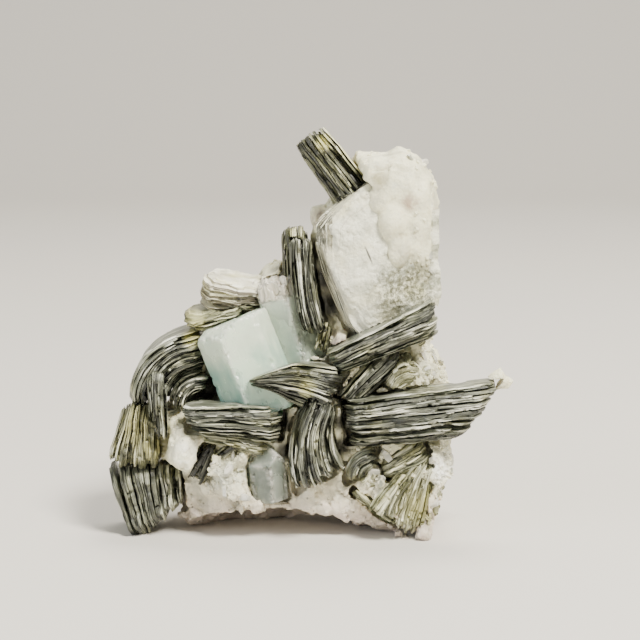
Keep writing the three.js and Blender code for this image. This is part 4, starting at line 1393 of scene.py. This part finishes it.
def scatter_tree():
    """The tree that scatters one kind of crumb over the matrix, turned and sized at random."""
    tree, given, add = new_tree(
        "crumb_scatter",
        {
            "Crumb": "Object",
            "Spacing": "Float",
            "Smallest": "Float",
            "Largest": "Float",
            "Tilt": "Float",
            "Seed": "Int",
            "Mineral": "Material",
        },
    )

    room = add("GeometryNodeInputNamedAttribute", {"Name": "room"}, data_type="FLOAT")
    area = add("ShaderNodeMath", {0: given["Spacing"], 1: 2.0}, operation="POWER")
    densest = add("ShaderNodeMath", {0: 1.0, 1: area}, operation="DIVIDE")
    points = add(
        "GeometryNodeDistributePointsOnFaces",
        {
            "Mesh": given["Geometry"],
            "Distance Min": given["Spacing"],
            "Density Max": densest,
            "Density Factor": room,
            "Seed": given["Seed"],
        },
        distribute_method="POISSON",
    )
    back_tilt = add("ShaderNodeMath", {0: given["Tilt"], 1: -1.0}, operation="MULTIPLY")
    least = add("ShaderNodeCombineXYZ", {"X": back_tilt, "Y": back_tilt, "Z": -math.pi})
    most = add("ShaderNodeCombineXYZ", {"X": given["Tilt"], "Y": given["Tilt"], "Z": math.pi})
    turn = add(
        "FunctionNodeRandomValue",
        {"Min": least, "Max": most, "Seed": given["Seed"]},
        data_type="FLOAT_VECTOR",
    )
    turned = add(
        "FunctionNodeRotateRotation",
        {"Rotation": points.outputs["Rotation"], "Rotate By": turn},
        rotation_space="LOCAL",
    )
    width = add(
        "FunctionNodeRandomValue",
        {"Min": given["Smallest"], "Max": given["Largest"], "Seed": given["Seed"]},
        data_type="FLOAT",
    )
    crumb = add("GeometryNodeObjectInfo", {"Object": given["Crumb"]})
    placed = add(
        "GeometryNodeInstanceOnPoints",
        {
            "Points": points.outputs["Points"],
            "Instance": crumb.outputs["Geometry"],
            "Rotation": turned,
            "Scale": width,
        },
    )
    real = add("GeometryNodeRealizeInstances", {"Geometry": placed})
    finished = add("GeometryNodeSetMaterial", {"Geometry": real, "Material": given["Mineral"]})
    add("NodeGroupOutput", {"Geometry": finished})
    return tree


# ---- Aquamarine and quartz ----------------------------------------------------------------------------


def growth_place(crystal):
    """Where a prism stands: its own axes, in millimetres, to the specimen's frame in metres."""
    right, back = (math.radians(a) for a in crystal["lean"])
    turned = (
        Matrix.Rotation(-back, 4, "X")
        @ Matrix.Rotation(right, 4, "Y")
        @ Matrix.Rotation(math.radians(crystal["spin"]), 4, "Z")
    )
    return Matrix.Scale(MM, 4) @ Matrix.Translation(Vector(crystal["at"]) - ORIGIN) @ turned


def growth_tree():
    """The tree that finishes a crystal: growth lines along it, low steps round it, and a broken top."""
    tree, given, add = new_tree(
        "growth_marks",
        {
            "Line Relief": "Float",
            "Step Relief": "Float",
            "Chip": "Float",
            "Broken From": "Float",
            "Broken": "Float",
            "Crystal": "Material",
        },
    )

    here = add("GeometryNodeInputPosition")
    line_at = add("ShaderNodeVectorMath", {0: here, 1: (1.1, 1.1, 0.06)}, operation="MULTIPLY")
    lines = add("ShaderNodeTexNoise", {"Vector": line_at, "Scale": 1.0, "Detail": 3.0})
    line = add("ShaderNodeMath", {0: lines, 1: 0.5}, operation="SUBTRACT")
    step_at = add("ShaderNodeVectorMath", {0: here, 1: (0.16, 0.16, 0.4)}, operation="MULTIPLY")
    steps = add("ShaderNodeTexNoise", {"Vector": step_at, "Scale": 1.0, "Detail": 2.0})
    step = add("ShaderNodeMath", {0: steps, 1: 0.5}, operation="SUBTRACT")
    stepped = add("ShaderNodeMath", {0: step, 1: given["Step Relief"]}, operation="MULTIPLY")
    marked = add("ShaderNodeMath", {0: line, 1: given["Line Relief"], 2: stepped}, operation="MULTIPLY_ADD")

    # Chips along the edges.
    from_edge = add("GeometryNodeInputNamedAttribute", {"Name": "from_edge"}, data_type="FLOAT")
    near = add("ShaderNodeMapRange", {"Value": from_edge, "From": (0.1, 1.3), "To": (given["Chip"], 0.0)})
    nicks = add("ShaderNodeTexNoise", {"Vector": here, "Scale": 0.55, "Detail": 3.0, "Roughness": 0.6})
    nicked = add("ShaderNodeMapRange", {"Value": nicks, "From": (0.52, 0.62)})
    chip = add("ShaderNodeMath", {0: nicked, 1: near}, operation="MULTIPLY")
    height = add("ShaderNodeMath", {0: marked, 1: chip}, operation="SUBTRACT")
    offset = add(
        "ShaderNodeVectorMath", {0: add("GeometryNodeInputNormal"), "Scale": height}, operation="SCALE"
    )

    # The break: what is above it sinks to one of many small chipped levels.
    up = add("ShaderNodeSeparateXYZ", {0: here}).outputs["Z"]
    above = add("ShaderNodeMath", {0: up, 1: given["Broken From"]}, operation="SUBTRACT")
    reached = add("ShaderNodeMath", {0: above, 1: 2.5}, operation="DIVIDE", use_clamp=True)
    chips = add("ShaderNodeTexVoronoi", {"Vector": here, "Scale": 0.6})
    level = add("ShaderNodeSeparateXYZ", {0: chips.outputs["Color"]})
    chipped = add("ShaderNodeMath", {0: level, 1: reached}, operation="MULTIPLY")
    sunk = add("ShaderNodeMath", {0: chipped, 1: given["Broken"]}, operation="MULTIPLY")
    drop = add("ShaderNodeMath", {0: sunk, 1: -1.0}, operation="MULTIPLY")
    fall = add("ShaderNodeCombineXYZ", {"Z": drop})
    crumbling = add("ShaderNodeTexNoise", {"Vector": here, "Scale": 0.8, "Detail": 3.0})
    crumbs = add(
        "ShaderNodeVectorMath", {0: crumbling.outputs["Color"], 1: (0.5, 0.5, 0.5)}, operation="SUBTRACT"
    )
    crumbled = add("ShaderNodeMath", {0: reached, 1: given["Broken"]}, operation="MULTIPLY")
    jagged = add("ShaderNodeVectorMath", {0: crumbs, "Scale": crumbled}, operation="SCALE")
    fallen = add("ShaderNodeVectorMath", {0: fall, 1: jagged}, operation="ADD")
    whole = add("ShaderNodeVectorMath", {0: offset, 1: fallen}, operation="ADD")
    mapped = add(
        "GeometryNodeStoreNamedAttribute",
        {"Geometry": given["Geometry"], "Name": "growth", "Value": here},
        data_type="FLOAT_VECTOR",
        domain="POINT",
    )
    moved = add("GeometryNodeSetPosition", {"Geometry": mapped, "Offset": whole})
    finished = add("GeometryNodeSetMaterial", {"Geometry": moved, "Material": given["Crystal"]})
    add("NodeGroupOutput", {"Geometry": finished})
    return tree


def cut_prism_mesh(crystal):
    """A six-sided prism standing on the origin, in millimetres, with its corners cut by planes."""
    shape = bmesh.new()
    side, length = crystal["side"], crystal["length"]
    headings = [math.radians(60 * i - 90) for i in range(6)]
    rings = [
        [shape.verts.new((side * math.cos(a), side * math.sin(a), z)) for a in headings]
        for z in (0.0, length)
    ]
    shape.faces.new(rings[0][::-1])
    shape.faces.new(rings[1])
    for i in range(6):
        j = (i + 1) % 6
        shape.faces.new((rings[0][i], rings[0][j], rings[1][j], rings[1][i]))
    for heading, rise, distance in crystal["cuts"]:
        turn, lift = math.radians(heading), math.radians(rise)
        facing = Vector((math.cos(lift) * math.cos(turn), math.cos(lift) * math.sin(turn), math.sin(lift)))
        everything = [*shape.verts, *shape.edges, *shape.faces]
        cut = bmesh.ops.bisect_plane(
            shape, geom=everything, plane_co=facing * distance, plane_no=facing, clear_outer=True
        )
        rim = [e for e in cut["geom_cut"] if isinstance(e, bmesh.types.BMEdge)]
        bmesh.ops.contextual_create(shape, geom=rim)
    bmesh.ops.recalc_face_normals(shape, faces=shape.faces)
    return made_mesh(shape, crystal["node"])


def edge_distances(form, rows):
    """How far each point lies from the nearest edge of a crystal's form, in millimetres."""
    nearest = np.full(len(rows), np.inf)
    for edge in form.edges:
        start, end = (np.array(form.vertices[i].co) for i in edge.vertices)
        along = end - start
        share = np.clip((rows - start) @ along / max(along @ along, 1e-9), 0, 1)
        out = rows - start - share[:, None] * along
        nearest = np.minimum(nearest, np.sqrt((out * out).sum(axis=1)))
    return nearest


def grown_crystal(crystal, tree, material, settings):
    """A crystal with growth marks on its faces, in place of its CAD node."""
    node = crystal["node"]
    sharp_form = cut_prism_mesh(crystal)
    mesh = even_mesh(node, sharp_form, step=crystal["side"] / 32, softening=22)
    store_values(mesh, "from_edge", edge_distances(sharp_form, points_of(mesh)))
    piece = grown(
        node + "_faces",
        mesh,
        tree,
        {
            "Line Relief": settings.line_relief,
            "Step Relief": settings.step_relief,
            "Chip": settings.chip,
            "Broken From": crystal["length"] - 5.0,
            "Broken": crystal["broken"],
            "Crystal": material,
        },
    )
    piece.data.transform(growth_place(crystal))
    piece.data.shade_smooth()
    dress(piece, material)
    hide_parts(node)
    return piece


# What the crystals are made of: how fractured they are inside and how bright their edges are; the colours
# where they are clear, where they are cloudy and at the crest, and the height at which the crest begins;
# how much light passes, the index of refraction, and the colour and density of the absorption.
CRYSTAL_FINISHES = {
    "aquamarine_etched": dict(
        fractured=0.1, edged=0.35,
        clear="#9BCABF", cloudy="#DEF3DA", crest="#E8F5DE", crest_from=12.0,
        see_through=0.5, ior=1.577, absorbed="#B8DEDC", density=40.0,
    ),
    "aquamarine_clouded": dict(
        fractured=0.6, edged=0.3,
        clear="#AFC3B4", cloudy="#CBD3C0", crest="#DCD5C2", crest_from=14.0,
        see_through=0.35, ior=1.577, absorbed="#BCDCD0", density=40.0,
    ),
    "quartz_glassy": dict(
        fractured=0.5, edged=0.8,
        clear="#97A197", cloudy="#ACB4A8", crest="#BAC1B5", crest_from=9.0,
        see_through=0.7, ior=1.544, absorbed="#D0D6D0", density=40.0,
    ),
}


def crystal_material(
    name, fractured, edged, clear, cloudy, crest, crest_from, see_through, ior, absorbed, density
):
    """A glassy crystal, clear in the depth of it and clouded near the surface, with etched growth lines."""
    material, surface, add = new_material(name)

    # Veils run along the crystal. It is clearer to the lower left, and its top is milky.
    growth = add("ShaderNodeAttribute", attribute_name="growth").outputs["Vector"]
    veil_at = add("ShaderNodeVectorMath", {0: growth, 1: (0.17, 0.17, 0.1)}, operation="MULTIPLY")
    veils = add("ShaderNodeTexNoise", {"Vector": veil_at, "Scale": 1.0, "Detail": 4.0, "Roughness": 0.55})
    parts = add("ShaderNodeSeparateXYZ", {0: growth}).outputs
    across, height = parts["X"], parts["Z"]
    slanting = add("ShaderNodeMath", {0: across, 1: 0.6, 2: height}, operation="MULTIPLY_ADD")
    upward = add("ShaderNodeMapRange", {"Value": slanting, "From": (3.0, 17.0), "To Max": 0.7})
    veiled = add("ShaderNodeMapRange", {"Value": veils, "From": (0.38, 0.62), "To Max": 0.6})
    cloud = add("ShaderNodeMath", {0: veiled, 1: upward}, operation="ADD", use_clamp=True)
    uneven = add("ShaderNodeMath", {0: veils, 1: 8.0, 2: height}, operation="MULTIPLY_ADD")
    topping = add("ShaderNodeMapRange", {"Value": uneven, "From": (crest_from + 4.0, crest_from + 8.0)})

    # Inner fractures below the top: uneven facets of about 3 mm, some of them grey.
    facet_warp = add("ShaderNodeVectorMath", {0: veils.outputs["Color"], "Scale": 7.0}, operation="SCALE")
    facet_from = add("ShaderNodeVectorMath", {0: growth, 1: facet_warp}, operation="ADD")
    facet_at = add("ShaderNodeVectorMath", {0: facet_from, 1: (0.4, 0.4, 0.2)}, operation="MULTIPLY")
    facets = add("ShaderNodeTexVoronoi", {"Vector": facet_at, "Scale": 1.0})
    facet_lot = add("ShaderNodeSeparateXYZ", {0: facets.outputs["Color"]})
    below = add(
        "ShaderNodeMapRange",
        {"Value": height, "From": (crest_from - 5.0, crest_from), "To": (fractured, 0.0)},
    )
    greyed = add("ShaderNodeMapRange", {"Value": facet_lot, "From": (0.3, 0.9), "To Max": below})

    # The edges are bruised white, more in some places than in others.
    from_edge = add("ShaderNodeAttribute", attribute_name="from_edge").outputs["Fac"]
    bruised = add("ShaderNodeMapRange", {"Value": from_edge, "From": (0.1, 1.2), "To": (edged, 0.0)})
    bruise_at = add("ShaderNodeVectorMath", {0: growth, 1: (0.6, 0.6, 0.6)}, operation="MULTIPLY")
    bruises = add("ShaderNodeTexNoise", {"Vector": bruise_at, "Scale": 1.0, "Detail": 4.0})
    coming = add("ShaderNodeMapRange", {"Value": bruises, "From": (0.4, 0.6)})
    bright = add("ShaderNodeMath", {0: bruised, 1: coming}, operation="MULTIPLY")
    body = layered(
        add,
        paint(clear),
        (cloud, paint(cloudy)),
        (topping, paint(crest)),
        (greyed, paint("#858D80")),
        (bright, paint("#F4EFE4")),
    )

    # Where it is cloudy the light scatters under the skin, where it is clear it passes.
    passing = add("ShaderNodeMapRange", {"Value": cloud, "To": (see_through, 0.5 * see_through)})
    etched = add("ShaderNodeMapRange", {"Value": veils, "To": (0.14, 0.38)})
    line_at = add("ShaderNodeVectorMath", {0: growth, 1: (3.2, 3.2, 0.12)}, operation="MULTIPLY")
    lines = add("ShaderNodeTexNoise", {"Vector": line_at, "Scale": 1.0, "Detail": 2.0})
    relief = add("ShaderNodeBump", {"Strength": 0.25, "Distance": 0.06 * MM, "Height": lines})
    plug(surface, {"Base Color": body, "Roughness": etched, "Normal": relief})
    plug(surface, {"Transmission Weight": passing, "IOR": ior})
    under_skin = {"Weight": 0.5, "Radius": (0.9, 1.0, 1.0), "Scale": 2.0 * MM}
    plug(surface, {"Subsurface " + name: value for name, value in under_skin.items()})
    depth = add("ShaderNodeVolumeAbsorption", {"Color": paint(absorbed), "Density": density})
    plug(material.node_tree.nodes["Material Output"], {"Volume": depth})
    return material


# ---- Stage --------------------------------------------------------------------------------------------


def paper_material(name, colour):
    """Studio paper, matt and pale, with the faint unevenness of a large sheet."""
    material, surface, add = new_material(name)
    here = add("ShaderNodeTexCoord").outputs["Object"]
    mottle = add("ShaderNodeTexNoise", {"Vector": here, "Scale": 9.0, "Detail": 4.0})
    faint = add("ShaderNodeMapRange", {"Value": mottle, "To": (0.0, 0.08)})
    shaded = layered(add, opaque(colour), (faint, paint("#C9C6C0")))
    plug(surface, {"Base Color": shaded, "Roughness": 0.85})
    return material


def sweep_mesh(half_width, front, back, rise, radius):
    """A sheet that runs level towards the back and sweeps up in a quarter circle."""
    profile = [(front, 0.0), (back, 0.0)]
    steps = 24
    for i in range(1, steps + 1):
        angle = math.pi / 2 * i / steps
        profile.append((back + radius * math.sin(angle), radius - radius * math.cos(angle)))
    profile.append((back + radius, rise))
    corners = [(x, y, z) for y, z in profile for x in (-half_width, half_width)]
    faces = [(2 * i, 2 * i + 1, 2 * i + 3, 2 * i + 2) for i in range(len(profile) - 1)]
    mesh = bpy.data.meshes.new("paper_sweep")
    mesh.from_pydata(corners, [], faces)
    mesh.shade_smooth()
    return mesh


def area_light(name, power, size, place, aim, colour):
    """A soft rectangular light turned towards the specimen."""
    light = bpy.data.lights.new(name, "AREA")
    light.energy = power
    light.size = size
    light.color = colour
    made = bpy.data.objects.new(name, light)
    bpy.context.scene.collection.objects.link(made)
    made.location = place
    made.rotation_mode = "QUATERNION"
    made.rotation_quaternion = (Vector(aim) - Vector(place)).to_track_quat("-Z", "Y")
    return made


# ---- Settings -----------------------------------------------------------------------------------------


def size_setting(name, description, default, **limits):
    """A number of millimetres that a user can change."""
    return FloatProperty(name=name, description=description + ", in millimetres", default=default, **limits)


def colour_setting(name, description, code):
    """A colour that a user can change."""
    return FloatVectorProperty(
        name=name, description=description, default=linear(code), subtype="COLOR", min=0, max=1
    )


class MicaSettings(bpy.types.PropertyGroup):
    leaf_pitch: size_setting("Leaf pitch", "Mean thickness of a leaf", 0.42, min=0.2)
    fray: size_setting("Fray", "How ragged the leaves' edges are", 0.9, min=0)
    wave: size_setting("Wave", "How far the leaves undulate", 1.2, min=0)
    ragged_ends: size_setting("Ragged ends", "How far a leaf can stop short of its end", 1.4)
    set_back: size_setting("Set back", "Depth of the grooves between leaves", 1.5, min=0)
    chip: size_setting("Chip", "Depth of the chips along a leaf's edge", 1.0, min=0)
    mesh_step: size_setting("Mesh step", "Length of a face along a leaf", 0.36, min=0.2)
    stain: FloatProperty(
        name="Stain", description="Strength of the yellow-olive stain", default=0.6, subtype="FACTOR", max=1
    )
    tint_colour: colour_setting("Packet tint", "Tint of the yellower packets of leaves", "#E4E3BE")
    stain_colour: colour_setting("Stain colour", "Tint that iron gives the mica", "#D5CF96")


class AlbiteSettings(bpy.types.PropertyGroup):
    grain: size_setting("Grain", "Width of the coarse grains", 3.6)
    relief: size_setting("Relief", "Height of the coarse grains", 1.0)
    sugar: size_setting("Sugar", "Width of the fine grains", 1.2)
    sugar_relief: size_setting("Sugar relief", "Height of the fine grains", 0.3)
    lump: size_setting("Lump", "Width of the soft lumps", 7)
    lump_relief: size_setting("Lump relief", "Height of the soft lumps", 2.2)
    mesh_step: FloatProperty(
        name="Mesh step",
        description="Length of a face of the matrix",
        default=0.48 * MM,
        unit="LENGTH",
        precision=5,
    )
    white: colour_setting("White", "Fresh albite", "#EFEBCA")
    pink: colour_setting("Pink", "Albite near the base", "#D8C9BC")
    grey: colour_setting("Grey", "Translucent patches", "#B7B5A2")
    stain: colour_setting("Stain", "Iron-stained spots", "#C8BC94")


class CrumbSettings(bpy.types.PropertyGroup):
    flake: size_setting("Flake", "Width of the widest mica flake", 2.4)
    blade: size_setting("Blade", "Length of the longest albite blade", 3.6)
    sugar: size_setting("Sugar", "Width of the widest grain", 1.3)


class CrystalSettings(bpy.types.PropertyGroup):
    line_relief: size_setting("Line relief", "Height of the growth lines", 0.12)
    step_relief: size_setting("Step relief", "Height of the growth steps", 0.35)
    chip: size_setting("Chip", "Depth of the chips along the edges", 0.7)


class StageSettings(bpy.types.PropertyGroup):
    elevation: FloatProperty(
        name="Elevation",
        description="Height of the camera above the horizon, as an angle",
        default=math.radians(8),
        subtype="ANGLE",
    )
    distance: FloatProperty(
        name="Distance", description="From the camera to the specimen", default=0.55, unit="LENGTH"
    )
    aim: FloatVectorProperty(
        name="Aim",
        description="The point that the camera looks at",
        default=(2.415 * MM, -1.462 * MM, 46.961 * MM),
        subtype="XYZ",
        unit="LENGTH",
        precision=5,
    )
    lens: FloatProperty(name="Lens", description="Focal length on a 36 mm sensor", default=140.4)
    key_power: FloatProperty(name="Key light", description="Power in watts", default=33, unit="POWER")
    fill_power: FloatProperty(name="Fill light", description="Power in watts", default=6, unit="POWER")
    top_power: FloatProperty(name="Top light", description="Power in watts", default=9, unit="POWER")
    surround: FloatProperty(name="Surround", description="Strength of the light all round", default=0.42)
    paper: colour_setting("Paper", "Colour of the floor", "#D3CFC8")


# ---- Operators ----------------------------------------------------------------------------------------


class SPECIMEN_OT_stage(bpy.types.Operator):
    """Lays the paper, hangs the lights and sets up the camera"""

    bl_idname = "specimen.stage"
    bl_label = "Stage"

    def execute(self, context):
        stage = context.scene.specimen_stage
        sheet = sweep_mesh(half_width=1.6, front=-1.6, back=0.8, rise=2.0, radius=0.5)
        floor = new_object("paper_floor", sheet)
        floor.data.materials.append(paper_material("matt_studio_paper", stage.paper))

        middle = (0.0, 0.0, 0.045)
        warm, cool = linear("#FFFAEE"), linear("#F2F7FF")
        area_light("key_light", stage.key_power, 0.3, (0.42, -0.6, 0.9), middle, warm)
        area_light("fill_light", stage.fill_power, 0.6, (-0.85, -0.6, 0.35), middle, cool)
        area_light("top_light", stage.top_power, 0.5, (0.15, 0.35, 0.9), middle, warm)

        world = bpy.data.worlds.new("studio_surround")
        world.use_nodes = True
        surround = world.node_tree.nodes["Background"]
        surround.inputs["Color"].default_value = paint("#F4F3F0")
        surround.inputs["Strength"].default_value = stage.surround
        context.scene.world = world

        camera = bpy.data.cameras.new("camera")
        camera.sensor_width = 36
        camera.lens = stage.lens
        camera.clip_start = 0.01
        viewer = bpy.data.objects.new("camera", camera)
        context.scene.collection.objects.link(viewer)
        behind = Vector((0, -math.cos(stage.elevation), math.sin(stage.elevation)))
        viewer.location = Vector(stage.aim) + behind * stage.distance
        viewer.rotation_mode = "QUATERNION"
        viewer.rotation_quaternion = (-behind).to_track_quat("-Z", "Y")
        context.scene.camera = viewer
        return {"FINISHED"}


class SPECIMEN_OT_mica_books(bpy.types.Operator):
    """Builds the books of muscovite and the large plate, leaf by leaf"""

    bl_idname = "specimen.mica_books"
    bl_label = "Muscovite books"

    def execute(self, context):
        mica = context.scene.specimen_mica
        tree = leaf_stack_tree()
        materials = {
            finish: mica_material(finish + "_cleaved", mica, plain, *(linear(code) for code in codes))
            for finish, (plain, *codes) in MICA_FINISHES.items()
        }
        overgrow(materials[PLATE["finish"]])
        for seed, book in enumerate((*FRONT_BOOKS, PLATE, *REAR_BOOKS, *SMALL_BOOKS, *FANS), 1):
            mica_book(book, tree, materials[book.get("finish", book["slot"])], mica, seed)
        plate_crust(materials[PLATE["finish"]])
        return {"FINISHED"}


class SPECIMEN_OT_albite(bpy.types.Operator):
    """Roughens the albite matrix and the bead at the end of the right book"""

    bl_idname = "specimen.albite"
    bl_label = "Albite"

    def execute(self, context):
        albite = context.scene.specimen_albite
        tree = sugary_tree()
        material = albite_material("albite_sugary", albite)
        # The bead is small, so its grains are finer and lower.
        for node, share, rise in (("albite_matrix", 1.0, 1.0), ("albite_bead", 0.45, 0.2)):
            mesh = cad_copy(node)
            if node == "albite_matrix":
                mesh = with_outcrops(mesh)
            piece = grown(
                node + "_grains",
                even_mesh(node, mesh, albite.mesh_step * share),
                tree,
                {
                    "Grain": albite.grain * share,
                    "Relief": albite.relief * rise,
                    "Sugar": albite.sugar * share,
                    "Sugar Relief": albite.sugar_relief * rise,
                    "Lump": albite.lump * share,
                    "Lump Relief": albite.lump_relief * rise,
                    "Albite": material,
                },
            )
            level_foot(piece.data)
            piece.data.shade_smooth()
            piece.data.set_sharp_from_angle(angle=math.radians(35))
            dress(piece, material)
            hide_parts(node)
        return {"FINISHED"}


class SPECIMEN_OT_crumbs(bpy.types.Operator):
    """Scatters mica flakes, albite blades and albite sugar over the matrix"""

    bl_idname = "specimen.crumbs"
    bl_label = "Crumbs on the matrix"

    def execute(self, context):
        crumbs = context.scene.specimen_crumbs
        tree = scatter_tree()
        host = crumb_ground()
        room = open_faces(host)
        flaky = bpy.data.materials["muscovite_olive_cleaved"], "muscovite_olive"
        bladed = bladed_material("albite_bladed"), "albite"
        sugary = bpy.data.materials["albite_sugary"], "albite"
        # Each kind: its shape, where it gathers, how dense it is elsewhere, how wide, how far it tilts,
        # its material and its slot.
        kinds = {
            "mica_flakes": (LEAF_OUTLINE, FLAKE_LAYERS, FLAKE_PLACES, 0.0, crumbs.flake, 1.2, *flaky),
            "albite_blades": (BLADE_OUTLINE, BLADE_LAYERS, BLADE_PLACES, 0.02, crumbs.blade, 0.9, *bladed),
            "albite_sugar": (GRAIN_OUTLINE, GRAIN_LAYERS, BLADE_PLACES, 0.06, crumbs.sugar, 0.7, *sugary),
        }
        for seed, (name, kind) in enumerate(kinds.items(), 3):
            outline, layers, places, sparse, widest, tilt, material, slot = kind
            store_values(host, "room", room * gathered(host, places, sparse), "FACE")
            crumb = new_object(name + "_crumb", slab_mesh(name, outline, layers))
            piece = grown(
                name,
                host,
                tree,
                {
                    "Crumb": crumb,
                    "Spacing": 0.62 * widest * MM,
                    "Smallest": 0.4 * widest * MM,
                    "Largest": widest * MM,
                    "Tilt": tilt,
                    "Seed": seed,
                    "Mineral": material,
                },
            )
            bpy.data.objects.remove(crumb)
            level_foot(piece.data)
            dress(piece, material)
        return {"FINISHED"}


class SPECIMEN_OT_crystals(bpy.types.Operator):
    """Marks the faces of the two aquamarines and of the quartz point"""

    bl_idname = "specimen.crystals"
    bl_label = "Aquamarines and quartz"

    def execute(self, context):
        settings = context.scene.specimen_crystals
        tree = growth_tree()
        for crystal in (AQUAMARINE, REAR_AQUAMARINE, QUARTZ):
            finish = crystal["finish"]
            material = crystal_material(finish, **CRYSTAL_FINISHES[finish])
            grown_crystal(crystal, tree, material, settings)
        return {"FINISHED"}


class SPECIMEN_PT_panel(bpy.types.Panel):
    """Lists the pieces of the specimen"""

    bl_idname = "SPECIMEN_PT_panel"
    bl_label = "Mineral specimen"
    bl_space_type = "VIEW_3D"
    bl_region_type = "UI"
    bl_category = "Specimen"

    def draw(self, context):
        for group, operator in GROUPS:
            self.layout.operator(operator.bl_idname)
            settings = getattr(context.scene, group)
            for name in settings.__annotations__:
                self.layout.prop(settings, name)


# The settings of the scene and the operator that reads them, in the order in which they run.
GROUPS = (
    ("specimen_stage", SPECIMEN_OT_stage),
    ("specimen_albite", SPECIMEN_OT_albite),
    ("specimen_crystals", SPECIMEN_OT_crystals),
    ("specimen_mica", SPECIMEN_OT_mica_books),
    ("specimen_crumbs", SPECIMEN_OT_crumbs),
)

SETTINGS = {
    "specimen_stage": StageSettings,
    "specimen_albite": AlbiteSettings,
    "specimen_crystals": CrystalSettings,
    "specimen_mica": MicaSettings,
    "specimen_crumbs": CrumbSettings,
}

OPERATORS = tuple(operator for _, operator in GROUPS)


def register():
    for group in SETTINGS.values():
        bpy.utils.register_class(group)
    for operator in (*OPERATORS, SPECIMEN_PT_panel):
        bpy.utils.register_class(operator)
    for name, group in SETTINGS.items():
        setattr(bpy.types.Scene, name, PointerProperty(type=group))


def unregister():
    for name in SETTINGS:
        delattr(bpy.types.Scene, name)
    for operator in (SPECIMEN_PT_panel, *OPERATORS):
        bpy.utils.unregister_class(operator)
    for group in SETTINGS.values():
        bpy.utils.unregister_class(group)


def main():
    register()
    bpy.ops.specimen.stage()
    bpy.ops.specimen.albite()
    bpy.ops.specimen.crystals()
    bpy.ops.specimen.mica_books()
    bpy.ops.specimen.crumbs()


if __name__ == "__main__":
    main()
